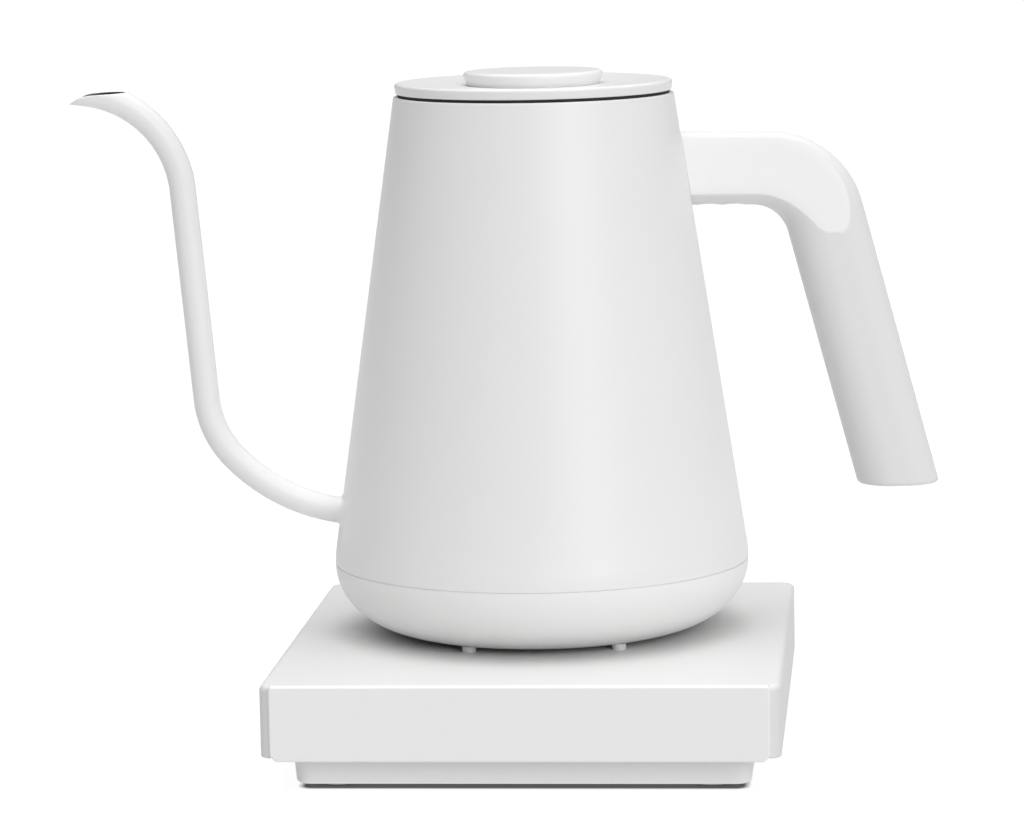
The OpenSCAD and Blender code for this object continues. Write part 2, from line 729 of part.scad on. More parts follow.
// The grip, or its bore, from one distance below the bend to another
module grip_run(w, t, from, to) {
    translate([p_grip[0], 0, p_grip[1]]) rotate([0, 180 - grip_slant, 0]) translate([0, 0, from])
        linear_extrude(to - from) bar_section(w, t);
}
module bar_sweep() {
    thin = 4 * lap_step;
    translate([p_arm[0], 0, p_arm[1]]) rotate([0, arm_fall - 90, 0]) translate([0, 0, -lap])
        linear_extrude(p_arm[0]) bar_section(bar_w - thin, bar_t - thin);
    translate([bend_c[0], 0, bend_c[1]]) rotate([90, 0, 0]) rotate([0, 0, grip_slant])
        rotate_extrude(angle = 90 - arm_fall - grip_slant) translate([bar_mid, 0]) bar_section(bar_w, bar_t);
    grip_run(bar_w - thin, bar_t - thin, -lap, grip_reach + bar_w / 2);
}
module saddle(grow) {
    translate([arm_out - mount_len, -mount_w / 2 - grow, arm_z - mount_t / 2 - grow])
        cube([2 * mount_len + grow, mount_w + 2 * grow, mount_t + 2 * grow]);
}
module at_handle_screws() {
    for (s = mount_screws) translate([arm_out + s, 0, screw_head_z]) children();
}
screw_head_z = arm_z - bar_w / 2 + pocket_roof;
module handle_mount() {
    color("silver") on_kettle() difference() {
        saddle(0);
        body_solid(0);
        at_handle_screws() cylinder(r = handle_screw_r + fit, h = arm_z - screw_head_z + 2 * screw_spare);
    }
}
module cheek_cut() {
    for (y = [-1, 1]) translate([0, y * cheek_half, arm_z]) rotate([y * cheek_tilt, 0, 0])
        translate([0, y > 0 ? 0 : -bar_t, -2 * bar_w]) cube([2 * base_w, bar_t, 4 * bar_w]);
}
module handle_bar() {
    color("white") on_kettle() difference() {
        bar_sweep();
        body_solid(0);
        cylinder(r = rim_r, h = 2 * rim_z);
        translate([0, -bar_t, grip_end_z - bar_w]) cube([2 * base_w, 2 * bar_t, bar_w]);
        grip_run(bar_w - 2 * grip_wall, bar_t - 2 * grip_wall, bar_w / 2, grip_reach + bar_w / 2);
        saddle(fit);
        at_handle_screws() {
            cylinder(r = handle_screw_r + screw_gap, h = bar_w / 2);
            translate([0, 0, -bar_w / 2]) cylinder(r = handle_screw_head_r + screw_gap, h = bar_w / 2);
        }
        cheek_cut();
    }
}
module handle_screws() {
    color("silver") on_kettle() at_handle_screws()
        screw(handle_screw_r, handle_screw_head_r, handle_screw_head_h, arm_z - screw_head_z + screw_spare);
}
module handle_plugs() {
    color("white") on_kettle() intersection() {
        bar_sweep();
        at_handle_screws() translate([0, 0, -bar_w / 2 - handle_screw_head_h])
            cylinder(r = handle_screw_head_r + screw_gap - fit, h = bar_w / 2);
    }
}
cap_t = 4;
module handle_end_cap() {
    color("whitesmoke") on_kettle() intersection() {
        grip_run(bar_w - 2 * (grip_wall + fit), bar_t - 2 * (grip_wall + fit), bar_w, grip_reach + bar_w / 2);
        translate([0, -bar_t, grip_end_z]) cube([2 * base_w, 2 * bar_t, cap_t]);
    }
}

// ---- Bottom of the kettle ----
bowl_r = min(bowl_bend, seam_h - seam_gap);
spigot_r = waist_r - shell_wall - fit;
spigot_t = 2;
floor_hole_r = socket_r + coupler_gap;
post_at = (socket_flange_r + element_loop - element_r) / 2;
bottom_post_r = 5;
post_top = (floor_top + spreader_z) / 2;
bottom_screw_r = 1.75;
bottom_screw_head_r = 3.2;
bottom_screw_head_h = 2.2;
bottom_screw_spare = 3;       // distance of the end of a bottom screw from the spreader
bottom_pocket = 3;
clip_t = 2;
clip_reach = 2;
bowl_c = [waist_r - bowl_r, seat_z + bowl_r];
bowl_lean = 8;                // where the inside of the bowl turns into the spigot
spigot_top = seam_z + spigot_h;
module at_bottom_posts() {
    for (a = [30 : 120 : 270]) rotate(a) translate([post_at, 0, 0]) children();
}
module bottom_cover() {
    color("white") on_kettle() difference() {
        union() {
            rotate_extrude() polygon(concat(
                [[0, seat_z]],
                arc(bowl_c, bowl_r, -90, 0),
                [[waist_r, bowl_z], [spigot_r, bowl_z], [spigot_r, spigot_top]],
                [[spigot_r - spigot_t, spigot_top], [spigot_r - spigot_t, bowl_z - spigot_t / 2]],
                arc(bowl_c, bowl_r - bowl_wall, -bowl_lean, -90),
                [[0, floor_top]]));
            at_bottom_posts() translate([0, 0, seat_z]) cylinder(r = bottom_post_r, h = post_top - seat_z);
            for (a = [90 : 120 : 330]) rotate(a - clip_turn)
                rotate_extrude(angle = 2 * clip_turn) socket_clip();
        }
        translate([0, 0, seat_z - through]) cylinder(r = floor_hole_r, h = bowl_wall + 2 * through);
        at_bottom_posts() translate([0, 0, seat_z - through]) {
            cylinder(r = bottom_screw_r + screw_gap, h = post_top);
            cylinder(r = bottom_screw_head_r + screw_gap, h = bottom_pocket + through);
        }
        at_nubs() translate([0, 0, seat_z - through]) cylinder(r = nub_r + fit, h = through + bowl_wall / 2);
    }
}
clip_turn = 12;               // half the angle that a clip takes round the socket
// Hook that holds the socket down on the floor, in section
module socket_clip() {
    x = socket_flange_r + coupler_gap;
    z = floor_top + 2 * coupler_gap + socket_flange_t;
    translate([x, floor_top - fit]) square([clip_t, z + clip_t - floor_top + fit]);
    translate([x - clip_reach, z]) square([clip_reach + fit, clip_t]);
}
module bottom_screws() {
    color("silver") on_kettle() at_bottom_posts() translate([0, 0, seat_z + bottom_pocket])
        screw(bottom_screw_r, bottom_screw_head_r, bottom_screw_head_h,
            spreader_z - seat_z - bottom_pocket - bottom_screw_spare);
}
nub_n = 6;
module at_nubs() {
    for (i = [0 : nub_n - 1]) rotate(nub_turn + 360 / nub_n * i) translate([nub_circle, 0, 0]) children();
}
module kettle_feet() {
    color("whitesmoke") on_kettle() at_nubs() translate([0, 0, base_top])
        cylinder(r = nub_r, h = nub_h + bowl_wall / 2);
}

// ---- Heater ----
probe_r = 2.5;
probe_hole_r = 5;
probe_at = 18;
stud_r = 4;
module heater_plate() {
    color("silver") on_kettle() difference() {
        intersection() {
            translate([0, 0, plate_z]) cylinder(r = spigot_r, h = plate_t);
            body_solid(shell_wall + fit);
        }
        translate([probe_at, 0, plate_z - through])
            cylinder(r = probe_hole_r + fit, h = plate_t + 2 * through);
    }
}
module heat_spreader() {
    color("gainsboro") on_kettle() difference() {
        union() {
            translate([0, 0, spreader_z]) cylinder(r = spreader_r, h = spreader_t);
            at_bottom_posts() translate([0, 0, post_top])
                cylinder(r = stud_r, h = spreader_z + spreader_t / 2 - post_top);
        }
        translate([probe_at, 0, spreader_z - through])
            cylinder(r = probe_hole_r + fit, h = spreader_t + 2 * through);
        at_bottom_posts() translate([0, 0, post_top - through])
            cylinder(r = bottom_screw_r + fit, h = spreader_z - post_top);
    }
}
element_open = 36;            // angle left open between the ends of the element
pin_len = 8;
module heating_element() {
    color("darkgray") on_kettle() translate([0, 0, spreader_z - element_r]) {
        rotate(180 + element_open / 2) rotate_extrude(angle = 360 - element_open)
            translate([element_loop, 0]) circle(r = element_r);
        for (y = [-1, 1]) rotate(180 + y * element_open / 2) translate([element_loop, 0, 0])
            rotate([y * 90, 0, 0]) translate([0, 0, -through / 2]) cylinder(r = wire_r, h = pin_len);
    }
}
probe_tail = 4;               // length of the probe below the spreader
seal_lip = 2;                 // how far the lip of the seal stands round its hole
seal_lip_t = 1.5;
probe_tip_z = plate_z + plate_t + probe_h - probe_r;
module water_probe() {
    color("silver") on_kettle() translate([probe_at, 0, 0]) {
        translate([0, 0, spreader_z - probe_tail])
            cylinder(r = probe_r, h = probe_tip_z - spreader_z + probe_tail);
        translate([0, 0, probe_tip_z]) sphere(r = probe_r);
    }
}
module probe_seal() {
    color("dimgray") on_kettle() translate([probe_at, 0, 0]) {
        translate([0, 0, spreader_z]) washer(probe_hole_r, probe_r + fit, plate_z + plate_t - spreader_z);
        translate([0, 0, plate_z + plate_t]) washer(probe_hole_r + seal_lip, probe_r + fit, seal_lip_t);
    }
}
fuse_r = 2.6;
fuse_at = 30;
fuse_len = 11;
fuse_wire = 19;
module thermal_fuse() {
    color("gold") on_kettle() translate([-fuse_at, 0, spreader_z - fuse_r]) rotate([90, 0, 0]) {
        cylinder(r = fuse_r, h = fuse_len, center = true);
        cylinder(r = wire_r, h = fuse_wire, center = true);
    }
}
lead_y = 16;                  // where the probe's leads end, beside the socket
fuse_lead_y = 7;              // where the fuse's leads end, beside the pins of the element
module kettle_wiring() {
    fuse_z = spreader_z - fuse_r;
    probe_z = spreader_z - wire_r - fit;
    color("firebrick") on_kettle() for (y = [-1, 1]) {
        lead([-fuse_at, y * (fuse_wire / 2 + wire_r + 5 * fit), fuse_z],
            [-element_loop + 2.5 * wire_r, y * fuse_lead_y, fuse_z]);
        lead([fuse_at / 2, y * lead_y, probe_z], [probe_at, y * (probe_r + wire_r + fit), probe_z]);
    }
}

// ---- Lid ----
plug_r = 43.6;
lid_round = 1;
knob_round = 1.2;
knob_foot_r = knob_r - knob_flare;
dish_r = knob_foot_r + 0.5;   // flat bottom of the dish, just round the knob
knob_top = dish_z + knob_h;
lid_bore_r = 2;
gasket_t = 1.15;
gasket_depth = 8;
boss_out_r = 6;
lid_pocket = 4;               // depth of the screw pocket under the lid
knob_roof = 1.5;              // plastic left in the knob above its screw hole
plug_z = lid_z - plug_depth;
module lid_disc() {
    color("white") on_kettle() rotate_extrude() polygon(concat(
        [[lid_bore_r + screw_gap, lid_z], [lid_r, lid_z]],
        arc([lid_r - lid_round, lid_top_z - lid_round], lid_round, 0, 90),
        [[dish_r, dish_z], [lid_bore_r + screw_gap, dish_z]]));
}
module lid_knob() {
    color("white") on_kettle() difference() {
        rotate_extrude() polygon(concat(
            [[0, dish_z], [knob_foot_r, dish_z]],
            arc([knob_r - knob_round, knob_top - knob_round], knob_round, 0, 90),
            [[0, knob_top]]));
        translate([0, 0, dish_z - through]) cylinder(r = lid_bore_r + fit, h = knob_h + through - knob_roof);
    }
}
module lid_plug() {
    color("gainsboro") on_kettle() difference() {
        union() {
            difference() {
                translate([0, 0, plug_z]) cylinder(r = plug_r, h = plug_depth);
                translate([0, 0, plug_z + plug_wall]) cylinder(r = plug_r - plug_wall, h = plug_depth);
            }
            translate([0, 0, plug_z]) cylinder(r = boss_out_r, h = plug_depth);
        }
        translate([0, 0, plug_z - through]) {
            cylinder(r = lid_bore_r + screw_gap, h = plug_depth + 2 * through);
            cylinder(r = handle_screw_head_r + screw_gap, h = lid_pocket + through);
        }
    }
}
module lid_gasket() {
    color("dimgray") on_kettle() {
        translate([0, 0, rim_z]) washer(mouth_r + lip_t, plug_r + fit, lid_gap);
        translate([0, 0, rim_z - gasket_depth]) washer(plug_r + fit + gasket_t, plug_r + fit, gasket_depth);
    }
}
module lid_screw() {
    color("silver") on_kettle() translate([0, 0, plug_z + lid_pocket])
        screw(lid_bore_r, handle_screw_head_r, handle_screw_head_h,
            knob_top - plug_z - lid_pocket - knob_roof - screw_spare / 2);
}

base_cover();
front_panel();
base_tray();
rubber_feet();
base_screws();
coupler_pillar();
pillar_contacts();
pillar_screws();
power_board();
board_screws();
relay();
filter_capacitor();
heat_sink();
triac();
terminal_block();
cord_gland();
base_wiring();
display_board();
display_block();
touch_springs();
buzzer();
kettle_socket();
socket_contacts();
kettle_shell();
spout();
handle_mount();
handle_bar();
handle_screws();
handle_plugs();
handle_end_cap();
bottom_cover();
bottom_screws();
kettle_feet();
heater_plate();
heat_spreader();
heating_element();
water_probe();
probe_seal();
thermal_fuse();
kettle_wiring();
lid_disc();
lid_knob();
lid_plug();
lid_gasket();
lid_screw();
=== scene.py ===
"""Looks for an electric gooseneck kettle on its square power base.

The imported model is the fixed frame. Lengths are in metres, +Z is up, the kettle turns about the
Z axis and the front of the base faces -Y.
"""

import logging
import math
from collections.abc import Callable, Iterable, Sequence
from dataclasses import dataclass, field
from enum import Enum
from typing import ClassVar

import bmesh
import bpy
from mathutils import Matrix, Vector


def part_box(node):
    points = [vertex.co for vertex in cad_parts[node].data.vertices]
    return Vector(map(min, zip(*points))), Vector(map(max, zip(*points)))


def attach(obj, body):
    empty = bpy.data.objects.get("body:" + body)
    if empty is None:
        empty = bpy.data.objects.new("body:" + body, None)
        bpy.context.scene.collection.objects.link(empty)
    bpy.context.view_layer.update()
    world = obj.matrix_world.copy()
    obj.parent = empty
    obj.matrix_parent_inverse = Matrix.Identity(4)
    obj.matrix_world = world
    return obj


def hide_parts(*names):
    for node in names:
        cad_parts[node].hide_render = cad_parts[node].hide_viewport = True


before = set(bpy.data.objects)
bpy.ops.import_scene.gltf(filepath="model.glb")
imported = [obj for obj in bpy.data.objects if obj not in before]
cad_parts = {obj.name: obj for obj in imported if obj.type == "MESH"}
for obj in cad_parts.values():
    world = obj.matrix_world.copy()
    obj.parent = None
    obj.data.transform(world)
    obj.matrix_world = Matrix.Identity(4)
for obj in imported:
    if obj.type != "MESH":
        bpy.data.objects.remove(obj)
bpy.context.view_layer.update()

LOG = logging.getLogger("kettle")
Flat = tuple[float, float]
Colour = tuple[float, float, float, float]
Piece = bpy.types.Object
Socket = bpy.types.NodeSocket
Noise = tuple[float, float]
MM = 0.001
QUARTER = math.pi / 2

# Support pieces and the smallest radii.
SUPPORT = 0.15 * MM
FINE = 0.1 * MM
FINEST = 0.05 * MM

# Radii of edges that are only broken, and how far a cutter stands past what it cuts.
EASED = 0.2 * MM
SOFT = 0.3 * MM
THROUGH = 1 * MM

# Keeps a division from one by zero.
TINY = 1e-9

# How far the kettle is turned on its base.
TURN = math.radians(12)
ON_KETTLE = Matrix.Rotation(TURN, 4, "Z")
HERE = Matrix.Identity(4)


class Body(Enum):
    """The bodies that pieces ride on."""

    BASE = "base"
    KETTLE = "kettle"
    LID = "lid"


# --- outlines ---


@dataclass(frozen=True)
class Corner:
    """A corner of an outline, rounded by an arc.

    Attributes:
        x: First coordinate of the unrounded corner.
        y: Second coordinate.
        radius: Radius of the arc, 0 for a sharp corner.
        steps: Straight pieces in the arc.
        reach: How far the arc starts before the corner, where that isn't its radius. It is a
            quarter of an ellipse then, and the corner is square.
    """

    x: float
    y: float
    radius: float = 0.0
    steps: int = 6
    reach: float = 0.0

    def at(self) -> Vector:
        """The corner as a vector."""
        return Vector((self.x, self.y))


def quarter(steps: int) -> list[Flat]:
    """Points of a quarter of a circle of radius 1 that touches both axes.

    Args:
        steps: Straight pieces in it.

    Returns:
        Its points, from (0, 1) to (1, 0).
    """
    turns = [QUARTER * i / steps for i in range(steps + 1)]
    return [(1 - math.cos(turn), 1 - math.sin(turn)) for turn in turns]


def rounded(before: Vector, corner: Corner, after: Vector, support: float) -> list[Vector]:
    """Points that stand for one corner of an outline.

    Args:
        before: Point that the outline comes from.
        corner: The corner.
        after: Point that the outline goes to.
        support: Length of the short straight pieces that keep the flats beside the arc flat.

    Returns:
        The points of the arc with a support point on each side, or the corner between its two.
    """
    here = corner.at()
    back = (before - here).normalized()
    ahead = (after - here).normalized()
    if corner.radius <= 0:
        return [here + back * support, here, here + ahead * support]
    if corner.reach > 0:
        return [
            here + back * (corner.reach * y) + ahead * (corner.radius * x)
            for x, y in quarter(corner.steps)
        ]
    angle = back.angle(ahead)
    reach = corner.radius / math.tan(angle / 2)
    centre = here + (back + ahead).normalized() * (corner.radius / math.sin(angle / 2))
    start = here + back * reach - centre
    sweep = start.angle_signed(here + ahead * reach - centre)
    turns = [-sweep * i / corner.steps for i in range(corner.steps + 1)]
    arc = [centre + Matrix.Rotation(turn, 2) @ start for turn in turns]
    return [arc[0] + back * support, *arc, arc[-1] + ahead * support]


def open_outline(corners: Sequence[Corner], support: float = SUPPORT) -> list[Vector]:
    """An open outline whose inner corners are rounded.

    Args:
        corners: Its corners, of which the two ends stay as they are.
        support: Length of the support pieces.

    Returns:
        Its points in order.
    """
    points = [corners[0].at()]
    for before, corner, after in zip(corners, corners[1:], corners[2:]):
        points += rounded(before.at(), corner, after.at(), support)
    return [*points, corners[-1].at()]


def closed_outline(corners: Sequence[Corner], support: float = SUPPORT) -> list[Vector]:
    """A closed outline with every corner rounded.

    Args:
        corners: Its corners in order.
        support: Length of the support pieces.

    Returns:
        Its points in order, without the first again at the end.
    """
    ring = [corners[-1], *corners, corners[0]]
    return open_outline(ring, support)[1:-1]


def inset(corners: Sequence[Corner], depth: float) -> list[Corner]:
    """Moves every side of a convex anticlockwise outline inwards.

    Args:
        corners: Corners of the outline.
        depth: How far each side moves.

    Returns:
        The new corners, with radii that shrink by the same depth.
    """
    moved = []
    for i, corner in enumerate(corners):
        here = corner.at()
        ahead = (corners[(i + 1) % len(corners)].at() - here).normalized()
        back = (corners[i - 1].at() - here).normalized()
        spot = here + (ahead + back).normalized() * (depth / math.sin(ahead.angle(back) / 2))
        moved.append(Corner(spot.x, spot.y, max(corner.radius - depth, FINEST), corner.steps))
    return moved


def rectangle(width: float, depth: float, radius: float, steps: int) -> list[Corner]:
    """Corners of a rectangle about the origin, anticlockwise.

    Args:
        width: Size along the first axis.
        depth: Size along the second axis.
        radius: Radius of its corners.
        steps: Straight pieces in each corner's arc.

    Returns:
        Its four corners.
    """
    signs = ((1, -1), (1, 1), (-1, 1), (-1, -1))
    return [Corner(sx * width / 2, sy * depth / 2, radius, steps) for sx, sy in signs]


def stack(
    corners: Sequence[Corner], steps: Iterable[Vector], where: Matrix, support: float = SUPPORT
) -> list[list[Vector]]:
    """Rings of an outline at several insets and heights.

    Args:
        corners: The outline.
        steps: Inset and height of each ring.
        where: Where the outline's own frame stands.
        support: Length of the support pieces at its corners.

    Returns:
        The rings.
    """
    return [
        [where @ Vector((*p, step.y)) for p in closed_outline(inset(corners, step.x), support)]
        for step in steps
    ]


# --- meshes ---


@dataclass
class Draft:
    """Points and faces of one piece while it is being drawn.

    Attributes:
        points: Its points.
        faces: The numbers of the points of each face.
        merge: Points closer than this in metres become one.
    """

    points: list[Vector] = field(default_factory=list)
    faces: list[tuple[int, ...]] = field(default_factory=list)
    merge: ClassVar[float] = 0.5e-6

    def loft(self, rings: Iterable[Iterable[Vector]], looped: bool = False) -> list[list[int]]:
        """Draws a skin of quads through rings of as many points.

        Args:
            rings: The rings in order.
            looped: Whether the last ring joins the first.

        Returns:
            The numbers of each ring's points.
        """
        numbers = []
        for points in rings:
            start = len(self.points)
            self.points += points
            numbers.append(list(range(start, len(self.points))))
        pairs = list(zip(numbers, numbers[1:])) + [(numbers[-1], numbers[0])] * looped
        for low, high in pairs:
            for i in range(len(low)):
                j = (i + 1) % len(low)
                self.faces.append((low[i], low[j], high[j], high[i]))
        return numbers

    def solid(self, rings: Iterable[Iterable[Vector]]) -> "Draft":
        """Draws a skin through rings, closed at each end by one flat face.

        Args:
            rings: The rings in order.

        Returns:
            The draft itself.
        """
        first, *_, last = self.loft(rings)
        self.faces += [tuple(first), tuple(last)]
        return self

    def fan(self, ring: Sequence[int]) -> None:
        """Closes a ring with triangles to its middle.

        Args:
            ring: The numbers of its points.
        """
        hub = len(self.points)
        self.points.append(sum((self.points[i] for i in ring), Vector()) / len(ring))
        for i, here in enumerate(ring):
            self.faces.append((here, ring[(i + 1) % len(ring)], hub))

    def lathe(
        self, outline: Sequence[Vector], segments: int, looped: bool = True, middle: float = 0.0
    ) -> "Draft":
        """Turns an outline of (radius, height) points about an upright axis.

        Args:
            outline: The points.
            segments: Straight pieces round the axis.
            looped: Whether the outline is closed.
            middle: How far along +X the axis stands.

        Returns:
            The draft itself.
        """
        turns = [math.tau * i / segments for i in range(segments)]
        self.loft([
            [
                Vector((middle + point.x * math.cos(turn), point.x * math.sin(turn), point.y))
                for turn in turns
            ]
            for point in outline
        ], looped)
        return self

    def make(self, name: str, where: Matrix = HERE, crease: float = 35.0) -> Piece:
        """Turns the draft into an object.

        Args:
            name: Name of the piece.
            where: Where it stands.
            crease: Angle in degrees above which an edge stays sharp.

        Returns:
            The new object, at the origin and with its place in its mesh.
        """
        mesh = bpy.data.meshes.new(name)
        mesh.from_pydata([where @ p for p in self.points], [], self.faces)
        work = bmesh.new()
        work.from_mesh(mesh)
        bmesh.ops.remove_doubles(work, verts=work.verts, dist=self.merge)
        bmesh.ops.dissolve_degenerate(work, dist=self.merge, edges=work.edges)
        bmesh.ops.recalc_face_normals(work, faces=work.faces)
        work.to_mesh(mesh)
        work.free()
        piece = bpy.data.objects.new(name, mesh)
        bpy.context.scene.collection.objects.link(piece)
        soften(piece, crease)
        return piece


def soften(piece: Piece, crease: float = 35.0) -> None:
    """Shades a piece smooth apart from its creases.

    Args:
        piece: A mesh object.
        crease: Angle in degrees above which an edge stays sharp.
    """
    piece.data.shade_smooth()
    piece.data.set_sharp_from_angle(angle=math.radians(crease))


def rod(start: Vector, end: Vector, radius: float, segments: int = 48) -> Piece:
    """A closed rod, for use as a cutter.

    Args:
        start: Middle of one end.
        end: Middle of the other end.
        radius: Its radius.
        segments: Straight pieces round it.

    Returns:
        The rod.
    """
    lay = (end - start).to_track_quat("Z", "Y").to_matrix()
    turns = [math.tau * i / segments for i in range(segments)]
    ring = [lay @ Vector((radius * math.cos(turn), radius * math.sin(turn), 0)) for turn in turns]
    return Draft().solid([[middle + p for p in ring] for middle in (start, end)]).make("rod")


def block(low: Vector, high: Vector) -> Piece:
    """A closed box, for use as a cutter.

    Args:
        low: Its lowest corner.
        high: Its highest corner.

    Returns:
        The box.
    """
    corners = ((low.x, low.y), (high.x, low.y), (high.x, high.y), (low.x, high.y))
    rings = [[Vector((*p, z)) for p in corners] for z in (low.z, high.z)]
    return Draft().solid(rings).make("block")


def carve(piece: Piece, cutters: Sequence[Piece]) -> None:
    """Cuts solids out of a piece, and deletes the cutters.

    Args:
        piece: The piece.
        cutters: The solids.
    """
    for cutter in cutters:
        cut = piece.modifiers.new("cut", "BOOLEAN")
        cut.operation = "DIFFERENCE"
        cut.solver = "EXACT"
        cut.object = cutter
    graph = bpy.context.evaluated_depsgraph_get()
    mesh = bpy.data.meshes.new_from_object(piece.evaluated_get(graph))
    piece.modifiers.clear()
    piece.data = mesh
    mesh.name = piece.name
    for cutter in cutters:
        bpy.data.objects.remove(cutter)
    soften(piece)


# --- finishes ---


class Graph:
    """The node tree of one material while it is being wired."""

    def __init__(self, owner: bpy.types.Material | bpy.types.World) -> None:
        """Starts an empty tree.

        Args:
            owner: The material or the world that it belongs to.
        """
        self.owner = owner
        owner.use_nodes = True
        self.tree = owner.node_tree
        self.tree.nodes.clear()

    def node(
        self,
        kind: str,
        settings: dict[str, object] | None = None,
        inputs: dict[str | int, object] | None = None,
    ) -> bpy.types.Node:
        """Adds a node.

        Args:
            kind: Type of the node, without the ShaderNode in front.
            settings: Its own settings, which are set first. A ramp's stops are (place, colour)
                pairs.
            inputs: Values or links of its sockets, by name or number.

        Returns:
            The node.
        """
        made = self.tree.nodes.new("ShaderNode" + kind)
        for key, value in (settings or {}).items():
            if key == "stops":
                for stop, (spot, colour) in zip(made.color_ramp.elements, value, strict=True):
                    stop.position, stop.color = spot, colour
            else:
                setattr(made, key, value)
        for key, value in (inputs or {}).items():
            socket = made.inputs[key]
            if isinstance(value, Value):
                self.tree.links.new(value.socket, socket)
            elif isinstance(value, Socket):
                self.tree.links.new(value, socket)
            else:
                socket.default_value = value
        return made

    def value(self, node: bpy.types.Node, output: str | int = 0) -> "Value":
        """One output of a node as a value that takes part in sums."""
        return Value(self, node.outputs[output])

    def where(self, output: str) -> Socket:
        """A coordinate of the point that is being shaded."""
        return self.node("TexCoord").outputs[output]

    def parts(self, vector: Socket) -> bpy.types.Node:
        """The three coordinates of a vector."""
        return self.node("SeparateXYZ", inputs={"Vector": vector})

    def noise(
        self, scale: float, detail: float = 2.0, stretch: Sequence[float] = (1, 1, 1)
    ) -> "Value":
        """Noise over the surface, from 0 to 1.

        Args:
            scale: Lumps in a metre.
            detail: Octaves.
            stretch: Scale along each axis.

        Returns:
            The noise.
        """
        inputs = {"Vector": self.where("Object"), "Scale": tuple(stretch)}
        mapped = self.node("Mapping", inputs=inputs).outputs[0]
        made = self.node("TexNoise", inputs={"Vector": mapped, "Scale": scale, "Detail": detail})
        return self.value(made, "Fac")

    def mix(self, factor: object, first: object, second: object) -> Socket:
        """Mixes two colours.

        Args:
            factor: Share of the second colour.
            first: First colour or socket.
            second: Second colour or socket.

        Returns:
            The colour.
        """
        made = self.node("Mix", {"data_type": "RGBA"}, {0: factor, 6: first, 7: second})
        return made.outputs[2]

    def bump(self, height: "Value", depth: float) -> Socket:
        """A normal from a height.

        Args:
            height: The height, from 0 to 1.
            depth: What a height of 1 stands for, in metres.

        Returns:
            The normal.
        """
        made = self.node("Bump", inputs={"Strength": 1.0, "Distance": depth, "Height": height})
        return made.outputs[0]

    def surface(self, inputs: dict[str | int, object]) -> bpy.types.Material:
        """Ends the material in a Principled shader.

        Args:
            inputs: Values or links of the shader's sockets.

        Returns:
            The finished material.
        """
        shader = self.node("BsdfPrincipled", inputs=inputs)
        self.node("OutputMaterial", inputs={"Surface": shader.outputs[0]})
        return self.owner


def math_node(operation: str, swapped: bool = False) -> Callable[..., "Value"]:
    """Makes an operator of Value that adds a Math node.

    Args:
        operation: What the node does.
        swapped: Whether the value comes second.

    Returns:
        The operator.
    """
    def apply(value: "Value", other: object = 0.0) -> "Value":
        """Adds the node.

        Args:
            value: The value that the operator belongs to.
            other: The other value or number.

        Returns:
            The output of the node.
        """
        first, second = (other, value) if swapped else (value, other)
        made = value.graph.node("Math", {"operation": operation}, {0: first, 1: second})
        return value.graph.value(made)

    return apply


@dataclass(frozen=True)
class Value:
    """A shader socket that takes part in sums written in Python."""

    graph: Graph
    socket: Socket

    __add__ = __radd__ = math_node("ADD")
    __mul__ = __rmul__ = math_node("MULTIPLY")
    __sub__ = math_node("SUBTRACT")
    __rsub__ = math_node("SUBTRACT", swapped=True)
    __pow__ = math_node("POWER")
    __abs__ = math_node("ABSOLUTE")
    __lt__ = math_node("LESS_THAN")
    at_least = math_node("MAXIMUM")


def tint(colour: Colour, factor: float) -> Colour:
    """A colour made darker or lighter by a factor."""
    return (colour[0] * factor, colour[1] * factor, colour[2] * factor, colour[3])


def grey(level: float) -> Colour:
    """An even grey."""
    return (level, level, level, 1.0)


@dataclass(frozen=True)
class Recipe:
    """What every finish has.

    Attributes:
        name: Name of the material.
        colour: Its colour.
    """

    name: str
    colour: Colour

    def graph(self) -> Graph:
        """An empty tree in a new material."""
        return Graph(bpy.data.materials.new(self.name + "_look"))


@dataclass(frozen=True)
class Coat(Recipe):
    """Satin powder coat on steel: a fine orange peel under a thin even sheen.

    Attributes:
        roughness: Roughness of the film.
        peel: Depth of the orange peel in metres.
        coarse: Lumps in a metre and octaves of its coarse part.
        fine: The same of its fine part.
        fine_share: Share of the fine part.
        cloud: Lumps in a metre and octaves of the broad cloud.
        shaded: Brightness of the cloud's darker parts, as a share.
        swing: How much the cloud changes the roughness.
        sheen: Weight of the sheen.
        sheen_roughness: Its roughness.
    """

    roughness: float = 0.42
    peel: float = 0.004 * MM
    coarse: Noise = (1300.0, 2.0)
    fine: Noise = (5200.0, 1.0)
    fine_share: float = 0.25
    cloud: Noise = (26.0, 3.0)
    shaded: float = 0.985
    swing: float = 0.06
    sheen: float = 0.12
    sheen_roughness: float = 0.3

    def material(self) -> bpy.types.Material:
        """Builds the material, with a broad cloud and two sizes of peel.

        Returns:
            The material.
        """
        graph = self.graph()
        cloud = graph.noise(*self.cloud)
        coarse = graph.noise(*self.coarse) * (1 - self.fine_share)
        peel = coarse + graph.noise(*self.fine) * self.fine_share
        return graph.surface({
            "Base Color": graph.mix(cloud, tint(self.colour, self.shaded), self.colour),
            "Roughness": self.roughness + (cloud - 0.5) * self.swing,
            "Normal": graph.bump(peel, self.peel),
            "Coat Weight": self.sheen,
            "Coat Roughness": self.sheen_roughness,
        })


